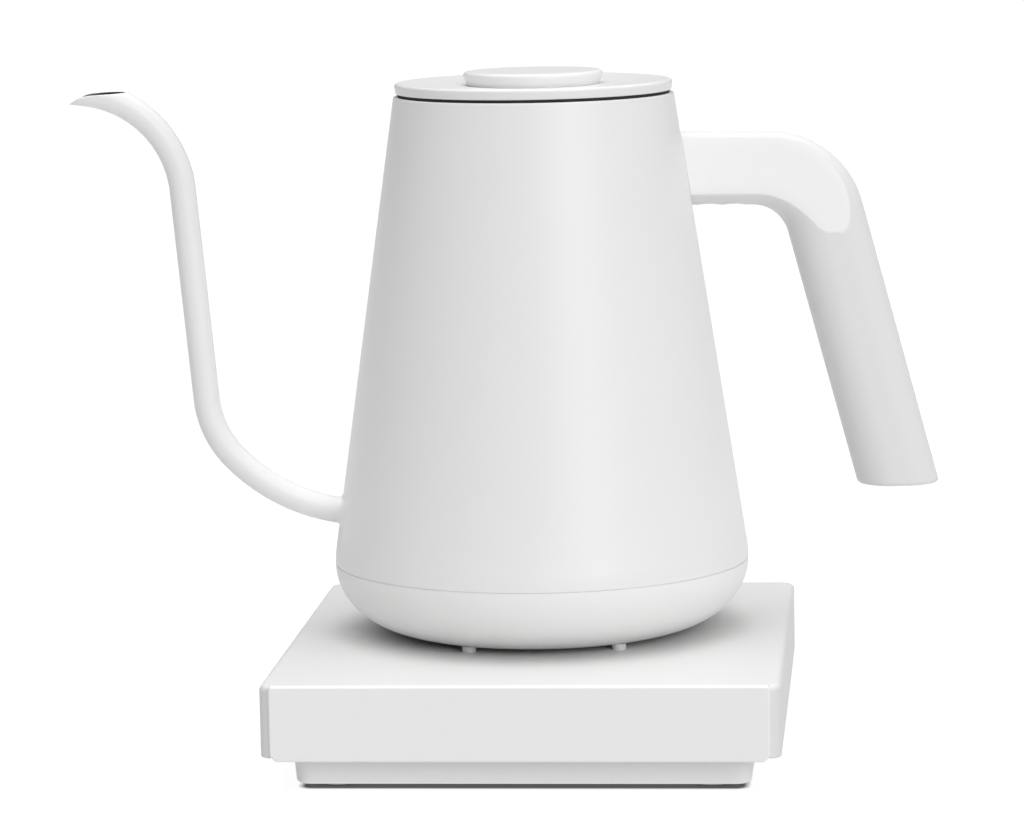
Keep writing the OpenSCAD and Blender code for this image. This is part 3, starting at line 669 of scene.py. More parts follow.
@dataclass(frozen=True)
class Moulding(Recipe):
    """Injection-moulded plastic with the fine grain of a spark-eroded mould.

    Attributes:
        roughness: Mean roughness.
        grain: Depth of the grain in metres.
        grain_noise: Lumps in a metre and octaves of the grain.
        flow: The same of the flow marks.
        shaded: Brightness of the marks, as a share.
        swing: How much the grain changes the roughness.
        index: Index of refraction.
    """

    roughness: float = 0.5
    grain: float = 0.006 * MM
    grain_noise: Noise = (3600.0, 3.0)
    flow: Noise = (14.0, 2.0)
    shaded: float = 0.982
    swing: float = 0.12
    index: float = 1.49

    def material(self) -> bpy.types.Material:
        """Builds the material, with slow flow marks under the grain.

        Returns:
            The material.
        """
        graph = self.graph()
        flow = graph.noise(*self.flow)
        grain = graph.noise(*self.grain_noise)
        return graph.surface({
            "Base Color": graph.mix(flow, tint(self.colour, self.shaded), self.colour),
            "Roughness": self.roughness + (grain - 0.5) * self.swing,
            "Normal": graph.bump(grain, self.grain),
            "IOR": self.index,
        })


@dataclass(frozen=True)
class Silicone(Recipe):
    """Soft rubber with a dry dusty surface.

    Attributes:
        roughness: Roughness where it is clean.
        swing: How much rougher dust makes it.
        grain: Depth of the grain in metres.
        grain_noise: Lumps in a metre and octaves of the grain.
        dust: The same of the dust.
        dust_power: How strongly the dust gathers in spots.
        dusty: Brightness of the spots, as a share.
        index: Index of refraction.
    """

    roughness: float = 0.6
    swing: float = 0.25
    grain: float = 0.008 * MM
    grain_noise: Noise = (2600.0, 2.0)
    dust: Noise = (420.0, 4.0)
    dust_power: float = 3.0
    dusty: float = 1.5
    index: float = 1.41

    def material(self) -> bpy.types.Material:
        """Builds the material, lighter and rougher where dust clings.

        Returns:
            The material.
        """
        graph = self.graph()
        dust = graph.noise(*self.dust)
        spots = dust ** self.dust_power
        return graph.surface({
            "Base Color": graph.mix(spots, self.colour, tint(self.colour, self.dusty)),
            "Roughness": self.roughness + dust * self.swing,
            "Normal": graph.bump(graph.noise(*self.grain_noise), self.grain),
            "IOR": self.index,
        })


@dataclass(frozen=True)
class Metal(Recipe):
    """Drawn or machined metal with fine lines along one axis.

    Attributes:
        roughness: Mean roughness.
        lines: Scale of the lines along each axis.
        line_noise: Lumps in a metre and octaves across the lines.
        line_depth: Their depth in metres.
        stain: Lumps in a metre and octaves of the stains.
        shaded: Brightness of the stains, as a share.
        swing: How much the lines change the roughness.
    """

    roughness: float = 0.3
    lines: tuple[float, float, float] = (1.0, 1.0, 0.03)
    line_noise: Noise = (2400.0, 2.0)
    line_depth: float = 0.004 * MM
    stain: Noise = (60.0, 3.0)
    shaded: float = 0.9
    swing: float = 0.18

    def material(self) -> bpy.types.Material:
        """Builds the material, with faint stains under the lines.

        Returns:
            The material.
        """
        graph = self.graph()
        lines = graph.noise(*self.line_noise, self.lines)
        stain = graph.noise(*self.stain)
        return graph.surface({
            "Base Color": graph.mix(stain, tint(self.colour, self.shaded), self.colour),
            "Metallic": 1.0,
            "Roughness": self.roughness + (lines - 0.5) * self.swing,
            "Normal": graph.bump(lines, self.line_depth),
        })


@dataclass(frozen=True)
class Board(Recipe):
    """Circuit board: green lacquer with lighter squares of copper showing through.

    Attributes:
        roughness: Roughness of the lacquer over copper.
        swing: How much rougher it is beside it.
        pads: Squares of copper in a metre.
        pad_edge: Where the edge of a square begins and ends, from its middle, in squares.
        pad_step: How far a square stands out, in metres.
        lighter: Brightness of a square, as a share.
    """

    roughness: float = 0.3
    swing: float = 0.1
    pads: float = 260.0
    pad_edge: tuple[float, float] = (0.30, 0.36)
    pad_step: float = 0.03 * MM
    lighter: float = 1.6

    def material(self) -> bpy.types.Material:
        """Builds the material, with the squares as cells of a pattern.

        Returns:
            The material.
        """
        graph = self.graph()
        cells = graph.node(
            "TexVoronoi",
            {"distance": "CHEBYCHEV", "feature": "F1"},
            {"Vector": graph.where("Object"), "Scale": self.pads},
        )
        stops = list(zip(self.pad_edge, (grey(0.0), grey(1.0))))
        ramp = graph.node("ValToRGB", {"stops": stops}, {"Fac": cells.outputs["Distance"]})
        beside = graph.value(ramp)
        return graph.surface({
            "Base Color": graph.mix(beside, tint(self.colour, self.lighter), self.colour),
            "Roughness": self.roughness + beside * self.swing,
            "Normal": graph.bump(1.0 - beside, self.pad_step),
        })


def warm(level: float, loss: float = 0.003) -> Colour:
    """A white whose blue is a little weaker."""
    return (level, level, level - loss, 1.0)


class Finish(Enum):
    """Every finish on the object, by its slot in the record."""

    WHITE_COAT = ("white_coat", Coat("white_coat", warm(0.86)))
    WHITE_PLASTIC = ("white_plastic", Moulding("white_plastic", warm(0.9)))
    # The base cover's copy of the white plastic is rougher, and darker as painted shade on its lit
    # top and sides.
    COVER_PLASTIC_PAINTED_SHADE = (
        "white_plastic", Moulding("cover_plastic_painted_shade", warm(0.765), roughness=0.55)
    )
    # The cheeks' copy of the white plastic is smoother, and lighter as painted light on the flat
    # cheeks.
    CHEEK_PLASTIC_PAINTED_LIGHT = (
        "white_plastic",
        Moulding("cheek_plastic_painted_light", warm(0.865), roughness=0.4, grain=0.003 * MM),
    )
    # The handle's copy of the white plastic is rougher and more grainy, and darker as painted
    # shade on the rounded grip.
    GRIP_PLASTIC_PAINTED_SHADE = (
        "white_plastic",
        Moulding("grip_plastic_painted_shade", warm(0.79), roughness=0.6, grain=0.012 * MM),
    )
    GREY_PLASTIC = ("grey_plastic", Moulding("grey_plastic", (0.36, 0.37, 0.38, 1.0)))
    DARK_PLASTIC = (
        "dark_plastic", Moulding("dark_plastic", (0.02, 0.02, 0.022, 1.0), roughness=0.42)
    )
    BRIGHT_STEEL = ("bright_steel", Metal("bright_steel", (0.58, 0.57, 0.55, 1.0)))
    # Bare steel of the spout's inner wall, darkened as painted shade inside the tube.
    BORE_STEEL_PAINTED_SHADE = (
        "bright_steel", Metal("bore_steel_painted_shade", (0.13, 0.13, 0.128, 1.0), roughness=0.5)
    )
    ALUMINIUM = (
        "aluminium",
        Metal("aluminium", (0.72, 0.73, 0.74, 1.0), roughness=0.38, lines=(0.05, 1.0, 1.0)),
    )
    CONTACT_BRASS = (
        "contact_brass", Metal("contact_brass", (0.75, 0.52, 0.2, 1.0), roughness=0.24)
    )
    DARK_RUBBER = ("dark_rubber", Silicone("dark_rubber", grey(0.022)))
    GREY_RUBBER = ("grey_rubber", Silicone("grey_rubber", grey(0.3)))
    CIRCUIT_BOARD = ("circuit_board", Board("circuit_board", (0.012, 0.09, 0.035, 1.0)))
    WIRE_COVER = ("wire_cover", Silicone("wire_cover", (0.2, 0.03, 0.02, 1.0)))

    @property
    def slot(self) -> str:
        """The record's slot."""
        return self.value[0]

    def material(self) -> bpy.types.Material:
        """The Blender material, built once."""
        recipe = self.value[1]
        return bpy.data.materials.get(recipe.name + "_look") or recipe.material()


def dress(piece: Piece, finish: Finish) -> Piece:
    """Gives a piece its finish.

    Args:
        piece: The piece.
        finish: The finish.

    Returns:
        The piece.
    """
    piece.data.materials.clear()
    piece.data.materials.append(finish.material())
    finish.slot
    return piece


def place(piece: Piece, body: Body, finish: Finish, *nodes: str) -> Piece:
    """Puts a piece on a body, in the place of CAD nodes.

    Args:
        piece: The piece.
        body: The body that it rides on.
        finish: Its finish.
        nodes: The nodes that it stands for.

    Returns:
        The piece.
    """
    dress(piece, finish)
    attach(piece, body.value)
    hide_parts(*nodes)
    return piece


Wardrobe = ClassVar[dict[Finish, tuple[str, ...]]]


class Assembly:
    """A sub-assembly that builds its visible pieces and dresses the CAD nodes that stay."""

    finishes: Wardrobe = {}

    def build(self) -> list[Piece]:
        """Builds the pieces that stand in the place of CAD nodes."""
        raise NotImplementedError

    def dress(self) -> list[Piece]:
        """Gives the CAD nodes that stay their finishes."""
        worn = [(node, finish) for finish, nodes in self.finishes.items() for node in nodes]
        return [dress(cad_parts[node], finish) for node, finish in worn]


# --- base ---


@dataclass
class PowerBase(Assembly):
    """The square base: cover, front panel, tray and feet."""

    finishes: Wardrobe = {
        Finish.GREY_RUBBER: ("rubber_feet",),
        Finish.BRIGHT_STEEL: ("base_screws", "pillar_screws", "board_screws"),
        Finish.DARK_PLASTIC: ("coupler_pillar", "relay", "triac", "display_block", "buzzer"),
        Finish.GREY_PLASTIC: ("filter_capacitor", "terminal_block"),
        Finish.CIRCUIT_BOARD: ("power_board", "display_board"),
        Finish.CONTACT_BRASS: ("pillar_contacts", "touch_springs"),
        Finish.ALUMINIUM: ("heat_sink",),
        Finish.DARK_RUBBER: ("cord_gland",),
        Finish.WIRE_COVER: ("base_wiring",),
    }
    corner: float = 5 * MM
    top_edge: float = 2 * MM
    top_flat: float = 5 * MM
    skirt_edge: float = 0.5 * MM
    wall: float = 2.5 * MM
    pillar_radius: float = 13 * MM
    gland_lip: float = 2 * MM
    hole_gap: float = 0.15 * MM
    panel_proud: float = 1 * MM
    panel_edge: float = 0.7 * MM
    panel_flat: float = 1.5 * MM
    panel_dip: float = 0.03 * MM
    panel_cut: float = 2 * MM
    panel_low_corner: float = 0.3 * MM
    panel_top_corner: float = 0.9 * MM
    panel_press: float = 0.02 * MM
    tray_setback: float = 9.0 * MM
    tray_corner: float = 6.5 * MM
    tray_edge: float = 1.1 * MM
    tray_draft: float = 1.2 * MM
    tray_lift: float = 1.7 * MM
    tray_wall: float = 2.2 * MM
    tray_overlap: float = 2 * MM
    screw_head: float = 3 * MM
    screw_hole: float = 3.25 * MM
    screw_depth: float = 3.6 * MM

    def __post_init__(self) -> None:
        """Reads the places of the pieces from the frame."""
        self.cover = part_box("base_cover")
        self.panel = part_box("front_panel")
        low, high = self.cover
        front = self.panel[0].y + self.panel_proud
        self.width = high.x - low.x
        self.depth = high.y - front
        self.middle = Vector(((low.x + high.x) / 2, front + self.depth / 2, 0.0))

    def footprint(self) -> tuple[Flat, Flat, float]:
        """Where the tray's lower end stands.

        Returns:
            Its middle, its half sides and the radius of its corners.
        """
        back = self.tray_setback + self.tray_draft
        half = (self.width / 2 - back, self.depth / 2 - back)
        return tuple(self.middle.xy), half, self.tray_corner - self.tray_draft

    def build(self) -> list[Piece]:
        """Builds the pieces of the base."""
        return [self._build_cover(), self._build_panel(), self._build_tray()]

    def _build_cover(self) -> Piece:
        """The cover: a soft-edged box, open below, with holes for the pillar and the cord.

        Returns:
            The piece.
        """
        low, high = self.cover
        profile = open_outline([
            Corner(self.wall, high.z - self.wall),
            Corner(self.wall, low.z, EASED, 2),
            Corner(0.0, low.z, self.skirt_edge, 4),
            Corner(0.0, high.z, self.top_edge, 8),
            Corner(self.top_flat, high.z),
        ])
        corners = rectangle(self.width, self.depth, self.corner, 10)
        rings = stack(corners, profile, Matrix.Translation(self.middle))
        cover = Draft().solid(rings).make("cover_skin")
        gland_low, gland_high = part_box("cord_gland")
        gland = (gland_low + gland_high) / 2
        neck = (gland_high.x - gland_low.x) / 2 - self.gland_lip
        press = self.panel_press
        slot_low, slot_high = self.panel
        carve(cover, [
            rod(
                Vector((0, 0, low.z)), Vector((0, 0, high.z + THROUGH)),
                self.pillar_radius + self.hole_gap, segments=96,
            ),
            rod(
                Vector((gland.x, high.y - self.wall - THROUGH, gland.z)),
                Vector((gland.x, high.y + THROUGH, gland.z)),
                neck + self.hole_gap, segments=64,
            ),
            block(
                slot_low + Vector((press, press - THROUGH, -THROUGH)),
                Vector((slot_high.x - press, slot_high.y - press, high.z + THROUGH)),
            ),
        ])
        # The cover wears the darker copy of the white plastic, a painted shade.
        return place(cover, Body.BASE, Finish.COVER_PLASTIC_PAINTED_SHADE, "base_cover")

    def _build_panel(self) -> Piece:
        """The front panel, with soft edges and cut lower corners.

        Returns:
            The piece.
        """
        low, high = self.panel
        half = (high.x - low.x) / 2
        tall = self.cover[1].z - self.panel_dip - low.z
        cut, foot, top = self.panel_cut, self.panel_low_corner, self.panel_top_corner
        corners = [
            Corner(-half + cut, 0.0, foot, 3),
            Corner(half - cut, 0.0, foot, 3),
            Corner(half, cut, foot, 3),
            Corner(half, tall, top, 4),
            Corner(-half, tall, top, 4),
            Corner(-half, cut, foot, 3),
        ]
        profile = open_outline([
            Corner(SOFT, high.y),
            Corner(0.0, high.y),
            Corner(0.0, low.y, self.panel_edge, 6),
            Corner(self.panel_edge + self.panel_flat, low.y),
        ], FINEST)
        upright = Matrix((
            (1, 0, 0, (low.x + high.x) / 2), (0, 0, 1, 0), (0, 1, 0, low.z), (0, 0, 0, 1)
        ))
        draft = Draft().solid(stack(corners, profile, upright, FINEST))
        piece = draft.make("panel_skin", crease=50)
        return place(piece, Body.BASE, Finish.WHITE_PLASTIC, "front_panel")

    def _build_tray(self) -> Piece:
        """The tray: a shallow cup with a soft lower edge under the cover.

        Returns:
            The piece.
        """
        back = 2 * self.tray_setback
        corners = rectangle(self.width - back, self.depth - back, self.tray_corner, 12)
        top = self.cover[0].z + self.tray_overlap
        profile = open_outline([
            Corner(self.tray_wall, top),
            Corner(0.0, top, FINE, 2),
            Corner(self.tray_draft, self.tray_lift, self.tray_edge, 8),
            Corner(self.tray_draft + self.tray_edge * 2, self.tray_lift),
        ])
        rings = stack(corners, profile, Matrix.Translation(self.middle))
        tray = Draft().solid(rings).make("tray_skin")
        low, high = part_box("base_screws")
        head = self.screw_head
        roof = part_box("base_tray")[0].z + self.screw_depth
        carve(tray, [
            rod(Vector((x, y, 0)), Vector((x, y, roof)), self.screw_hole)
            for x in (low.x + head, high.x - head)
            for y in (low.y + head, high.y - head)
        ])
        return place(tray, Body.BASE, Finish.WHITE_PLASTIC, "base_tray")


# --- kettle ---


@dataclass
class KettleBody(Assembly):
    """The conical steel body, the bottom cover and the small feet."""

    finishes: Wardrobe = {
        Finish.WHITE_PLASTIC: ("kettle_feet",),
        Finish.BRIGHT_STEEL: ("bottom_screws", "heater_plate", "heating_element", "water_probe"),
        Finish.ALUMINIUM: ("heat_spreader",),
        Finish.DARK_RUBBER: ("probe_seal",),
        Finish.CONTACT_BRASS: ("thermal_fuse", "socket_contacts"),
        Finish.WIRE_COVER: ("kettle_wiring",),
        Finish.DARK_PLASTIC: ("kettle_socket",),
    }
    rim_radius: float = 47.9 * MM
    waist_radius: float = 71.3 * MM
    waist_height: float = 24.7 * MM
    waist_bend: float = 28 * MM
    wall: float = 1 * MM
    mouth_radius: float = 45.2 * MM
    lip_depth: float = 6 * MM
    rim_edge: float = 0.5 * MM
    seam_edge: float = 0.05 * MM
    seam_gap: float = 0.03 * MM
    bowl_reach: float = 28.5 * MM
    bowl_rise: float = 23 * MM
    bowl_wall: float = 2.4 * MM
    bowl_edge: float = 0.04 * MM
    socket_hole: float = 18 * MM
    spigot_gap: float = 0.15 * MM
    spigot_rise: float = 2.5 * MM
    spigot_wall: float = 2 * MM
    screw_turns: tuple[float, ...] = (30, 150, 270)
    spigot_roots: tuple[float, float] = (1 * MM, 1.2 * MM)
    screw_reach: float = 30.2 * MM
    screw_hole: float = 3.45 * MM
    screw_depth: float = 3 * MM
    segments: int = 256

    def __post_init__(self) -> None:
        """Reads heights from the frame."""
        low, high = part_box("kettle_shell")
        self.seam_z, self.rim_z = low.z, high.z
        self.seat_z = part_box("bottom_cover")[0].z
        self.bowl_z = self.seam_z - self.seam_gap
        centre = Vector((self.waist_radius - self.waist_bend, self.seat_z + self.waist_height))
        to_rim = Vector((self.rim_radius, self.rim_z)) - centre
        self.lean = math.atan2(to_rim.y, to_rim.x) - math.acos(self.waist_bend / to_rim.length)

    def cone(self, z: float) -> float:
        """Radius of the cone at a height."""
        return self.rim_radius + (self.rim_z - z) * math.tan(self.lean)

    def clear(self, spot: Vector) -> float:
        """How far a point stands outside the cone."""
        return math.hypot(spot.x, spot.y) - self.cone(spot.z)

    def build(self) -> list[Piece]:
        """Builds the body and the bottom cover."""
        return [self._build_shell(), self._build_bottom()]

    def _build_shell(self) -> Piece:
        """The steel body with its rolled lip.

        Returns:
            The piece.
        """
        inner_waist = self.waist_radius - self.wall
        shift = self.wall / math.cos(self.lean)
        run = self.waist_radius - self.rim_radius
        corner_z = self.rim_z - run / math.tan(self.lean)
        inner_corner_z = self.rim_z - (run - self.wall + shift) / math.tan(self.lean)
        lip_z = self.rim_z - self.lip_depth
        outline = closed_outline([
            Corner(inner_waist, self.seam_z, EASED, 2),
            Corner(self.waist_radius, self.seam_z, self.seam_edge, 5),
            Corner(self.waist_radius, corner_z, self.waist_bend, 20),
            Corner(self.rim_radius, self.rim_z, self.rim_edge, 5),
            Corner(self.mouth_radius, self.rim_z, self.rim_edge, 5),
            Corner(self.mouth_radius, lip_z, SOFT, 3),
            Corner(self.cone(lip_z) - shift, lip_z, FINE, 2),
            Corner(inner_waist, inner_corner_z, self.waist_bend - self.wall, 12),
        ], FINE)
        shell = Draft().lathe(outline, self.segments).make("body_skin", ON_KETTLE)
        return place(shell, Body.KETTLE, Finish.WHITE_COAT, "kettle_shell")

    def _build_bottom(self) -> Piece:
        """The bowl-shaped bottom cover, open in the middle for the socket.

        Returns:
            The piece.
        """
        spigot = self.waist_radius - self.wall - self.spigot_gap
        spigot_in = spigot - self.spigot_wall
        spigot_top = self.seam_z + self.spigot_rise
        groove = self.waist_radius - self.seam_gap
        inner = self.waist_radius - self.bowl_wall
        floor = self.seat_z + self.bowl_wall
        across, rise = self.bowl_reach - self.bowl_wall, self.bowl_rise - self.bowl_wall
        outline = closed_outline([
            Corner(self.socket_hole, self.seat_z, SOFT, 3),
            Corner(self.waist_radius, self.seat_z, self.bowl_rise, 28, self.bowl_reach),
            Corner(self.waist_radius, self.bowl_z, self.bowl_edge, 4),
            Corner(groove, self.bowl_z),
            Corner(groove, self.seam_z - self.seam_gap),
            Corner(spigot, self.seam_z - self.seam_gap),
            Corner(spigot, spigot_top, EASED, 2),
            Corner(spigot_in, spigot_top, EASED, 2),
            Corner(spigot_in, self.bowl_z - self.spigot_roots[0]),
            Corner(inner, self.bowl_z - self.spigot_roots[1]),
            *(Corner(inner - across * y, floor + rise * x) for x, y in reversed(quarter(12))),
            Corner(self.socket_hole, floor, EASED, 2),
        ], FINE)
        bottom = Draft().lathe(outline, self.segments).make("bottom_skin", ON_KETTLE)
        cutters = []
        for turn in self.screw_turns:
            round_axis = Matrix.Rotation(math.radians(turn) + TURN, 4, "Z")
            spot = round_axis @ Vector((self.screw_reach, 0, self.seat_z))
            low, high = (spot + Vector((0, 0, z)) for z in (-THROUGH, self.screw_depth))
            cutters.append(rod(low, high, self.screw_hole))
        carve(bottom, cutters)
        return place(bottom, Body.KETTLE, Finish.WHITE_PLASTIC, "bottom_cover")


@dataclass
class Lid(Assembly):
    """The flat lid with its wide knob, its seal and its plug."""

    finishes: Wardrobe = {
        Finish.GREY_PLASTIC: ("lid_plug",),
        Finish.DARK_RUBBER: ("lid_gasket",),
        Finish.BRIGHT_STEEL: ("lid_screw",),
    }
    radius: float = 47.6 * MM
    taper: float = 0.5 * MM
    top_edge: float = 1.1 * MM
    seat: tuple[float, float] = (42 * MM, 42.4 * MM)
    under: float = 0.25 * MM
    knob_radius: float = 24.45 * MM
    knob_foot: float = 22.4 * MM
    knob_edge: float = 1.2 * MM
    dish_radius: float = 22 * MM
    dish_depth: float = 1.4 * MM
    dish_bend: float = 60 * MM
    bore: float = 2.25 * MM
    segments: tuple[int, int] = (256, 192)

    def build(self) -> list[Piece]:
        """Builds the disc, and the knob, which is wider at its top than at its foot.

        Returns:
            The two pieces.
        """
        low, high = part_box("lid_disc")
        dish = high.z - self.dish_depth
        foot = low.z - self.under
        outline = closed_outline([
            Corner(self.bore, low.z),
            Corner(self.seat[0], low.z),
            Corner(self.seat[1], foot),
            Corner(self.radius - self.taper, foot, SOFT, 3),
            Corner(self.radius, high.z, self.top_edge, 6),
            Corner(self.dish_radius, dish, self.dish_bend, 8),
            Corner(self.bore, dish),
        ], FINE)
        disc = Draft().lathe(outline, self.segments[0]).make("lid_skin", ON_KETTLE)
        low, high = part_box("lid_knob")
        outline = open_outline([
            Corner(0.0, low.z),
            Corner(self.knob_foot, low.z, EASED, 2),
            Corner(self.knob_radius, high.z, self.knob_edge, 8),
            Corner(0.0, high.z),
        ], FINE)
        draft = Draft().lathe(outline, self.segments[1], looped=False)
        knob = draft.make("knob_skin", ON_KETTLE)
        return [
            place(disc, Body.LID, Finish.WHITE_COAT, "lid_disc"),
            place(knob, Body.LID, Finish.WHITE_COAT, "lid_knob"),
        ]


# --- spout ---


def left_of(angle: float) -> Vector:
    """The direction a quarter turn to the left of a heading."""
    return Vector((-math.sin(angle), math.cos(angle)))


def heading(angle: float) -> Vector:
    """The direction at an angle above the horizontal."""
    return Vector((math.cos(angle), math.sin(angle)))


@dataclass(frozen=True)
class Leg:
    """One stretch of a flat path, straight or on an arc.

    Attributes:
        start: Where it starts.
        angle: Heading at its start.
        length: Its length.
        curl: Change of heading over it, positive to the left.
    """

    start: Vector
    angle: float
    length: float
    curl: float = 0.0

    def at(self, along: float) -> tuple[Vector, float]:
        """The place and the heading at a distance along it.

        Args:
            along: Distance from its start.

        Returns:
            The point and the heading there.
        """
        if not self.curl:
            return self.start + heading(self.angle) * along, self.angle
        angle = self.angle + self.curl * along / self.length
        bend = self.length / self.curl
        return self.start + bend * (left_of(self.angle) - left_of(angle)), angle


@dataclass
class Route:
    """A flat path of legs, each tangent to the one before.

    Attributes:
        start: Where it starts.
        angle: Heading at its start.
        legs: Its legs in order.
    """

    start: Vector
    angle: float
    legs: list[Leg] = field(default_factory=list)

    def add(self, length: float, curl: float = 0.0) -> "Route":
        """Adds a leg at the end.

        Args:
            length: Its length.
            curl: Change of heading over it.

        Returns:
            The route itself.
        """
        start, angle = self.at(self.length())
        self.legs.append(Leg(start, angle, length, curl))
        return self

    def bend(self, radius: float, curl: float) -> "Route":
        """Adds a bend of a radius at the end."""
        return self.add(radius * abs(curl), curl)

    def length(self) -> float:
        """Length of the whole route."""
        return sum(leg.length for leg in self.legs)

    def at(self, along: float) -> tuple[Vector, float]:
        """The place and the heading at a distance along the route, also beyond its ends.

        Args:
            along: Distance from its start.

        Returns:
            The point and the heading there.
        """
        if not self.legs:
            return self.start, self.angle
        for leg in self.legs[:-1]:
            if along <= leg.length:
                return leg.at(along)
            along -= leg.length
        return self.legs[-1].at(along)


def solve(function: Callable[[float], float], low: float, high: float, steps: int = 50) -> float:
    """Where a rising or falling function crosses zero.

    Args:
        function: The function.
        low: One end of the range.
        high: The other end.
        steps: Halvings.

    Returns:
        The crossing, or the better end where there is none.
    """
    at_low, at_high = function(low), function(high)
    if at_low * at_high > 0:
        return low if abs(at_low) < abs(at_high) else high
    for _ in range(steps):
        middle = (low + high) / 2
        if function(middle) * at_low > 0:
            low = middle
        else:
            high = middle
    return (low + high) / 2


@dataclass(frozen=True)
class Cut:
    """A plane that cuts the end of the tube.

    Attributes:
        spot: A point of it, outwards and up.
        slope: How steeply it falls outwards.
        roll: How steeply it falls towards the front.
    """

    spot: Vector
    slope: float
    roll: float = 0.0

    def over(self, p: Vector) -> float:
        """Height of a point above the plane."""
        level = (p.z - self.spot.y) * math.cos(self.slope)
        return level + (-p.x - self.spot.x) * math.sin(self.slope) - p.y * math.tan(self.roll)


@dataclass
class Spout(Assembly):
    """The swan-neck tube: a soft weld, two bends up, one over and a mouth that falls to a nose."""

    body: KettleBody
    radius: float = 4.5 * MM
    wall: float = 0.6 * MM
    root_height: float = 42.3 * MM
    root_rise: float = math.radians(8)
    root_bend: float = 64 * MM
    knee_rise: float = math.radians(48)
    knee_bend: float = 34.3 * MM
    upright_rise: float = math.radians(85.2)
    upright_length: float = 71.7 * MM
    top_bend: float = 37.3 * MM
    tip_rise: float = math.radians(8)
    tip_length: float = 6 * MM
    tip_cut: float = math.radians(10)
    tip_spare: float = 6 * MM
    mouth_slope: float = math.radians(1.5)
    mouth_roll: float = math.radians(3.2)
    nose_slope: float = math.radians(30)
    nose_roll: float = math.radians(-5)
    nose_back: float = 0.9 * MM
    nose_blend: float = 2.0 * MM
    lip_edge: float = 0.12 * MM
    lip_drops: tuple[float, float] = (0.3 * MM, 0.08 * MM)
    weld_tube: tuple[float, float] = (1.4 * MM, 4 * MM)
    weld_body: tuple[float, float] = (1.4 * MM, 8 * MM)
    weld_sunk: float = 0.03 * MM
    weld_ease: float = 1 * MM

    # How finely it is drawn. The margins are shares of the top bend: how far before the tip the
    # search for a cut starts, and where the even rings end.
    sides: int = 56
    weld_steps: int = 9
    ring_counts: tuple[int, ...] = (2, 90, 36, 24, 60)
    bend_margins: tuple[float, float] = (1.2, 1.25)
    foot_range: tuple[float, float] = (-4 * MM, 12 * MM)
    cut_tries: int = 160
    cut_step: float = 0.5 * MM
    axis_steps: tuple[int, int] = (600, 30)
    bore_share: float = 0.1

    def __post_init__(self) -> None:
        """Lays the path out from the body, and the cuts at its end."""
        self.turns = [math.tau * i / self.sides for i in range(self.sides)]
        self.bore = self.radius - self.wall
        root_z = self.body.seat_z + self.root_height
        root = Vector((self.body.cone(root_z) - 2 * self.body.wall, root_z))
        self.route = (
            Route(root, self.root_rise)
            .bend(self.root_bend, self.knee_rise - self.root_rise)
            .bend(self.knee_bend, self.upright_rise - self.knee_rise)
            .add(self.upright_length)
            .bend(self.top_bend, self.tip_rise - self.upright_rise)
            .add(self.tip_length)
        )
        self.total = self.route.length()
        end, angle = self.route.at(self.total)
        beak = end - left_of(angle) * self.radius
        nose = beak - heading(angle) * self.nose_back
        upper = self._reach_cut(Cut(beak, self.tip_cut), 0.0, self.radius, 0.0)
        crest = self.point(upper, 0.0, self.radius)
        self.mouth = Cut(Vector((-crest.x, crest.z)), self.mouth_slope, self.mouth_roll)
        self.nose = Cut(nose, self.nose_slope, self.nose_roll)

    def point(self, along: float, turn: float, radius: float) -> Vector:
        """A point on the tube, in the kettle's own frame.

        Args:
            along: Distance along the path.
            turn: Angle round the tube from its upper or inner side.
            radius: Distance from the middle of the tube.

        Returns:
            The point, with the spout towards -X.
        """
        middle, angle = self.route.at(along)
        side = middle + left_of(angle) * (radius * math.cos(turn))
        return Vector((-side.x, radius * math.sin(turn), side.y))

    def _reach_cut(self, cut: Cut, turn: float, radius: float, below: float) -> float:
        """How far a line of the tube goes before it rises over a cut.

        Args:
            cut: The cut.
            turn: Angle of the line round the tube.
            radius: Distance of the line from the middle of the tube.
            below: How far under the cut the line ends.

        Returns:
            The distance along the path, or the whole path and a little more.
        """
        def over(along: float) -> float:
            """Height above the end of the line."""
            return cut.over(self.point(along, turn, radius)) + below

        start = self.total - self.tip_length - self.top_bend * self.bend_margins[0]
        end = self.total + self.tip_spare
        for i in range(self.cut_tries):
            along = start + (end - start) * i / (self.cut_tries - 1)
            if over(along) > 0:
                return solve(over, along - self.cut_step, along)
        return end

    def _end(self, turn: float, radius: float, below: float) -> float:
        """How far a line of the tube goes before the mouth or the nose cuts it.

        Args:
            turn: Angle of the line round the tube.
            radius: Distance of the line from the middle of the tube.
            below: How far under the cuts the line ends.

        Returns:
            The distance along the path, with the edge between the two cuts rounded.
        """
        reaches = [self._reach_cut(cut, turn, radius, below) for cut in (self.mouth, self.nose)]
        least, blend = min(reaches), self.nose_blend
        shares = [math.exp((least - reach) / blend) for reach in reaches]
        return least - blend * math.log(sum(shares))

    def _reach(self, sizes: tuple[float, float], turn: float) -> float:
        """Reach of the weld: the first size above and below the tube, the second beside it."""
        return sizes[0] + (sizes[1] - sizes[0]) * math.sin(turn) ** 2

    def _foot(self, turn: float) -> float:
        """How far along the path a line of the tube comes out of the body.

        Args:
            turn: Angle of the line round the tube.

        Returns:
            The distance along the path.
        """
        def clear(along: float) -> float:
            """How far the line stands outside the body."""
            return self.body.clear(self.point(along, turn, self.radius))

        return solve(clear, *self.foot_range)

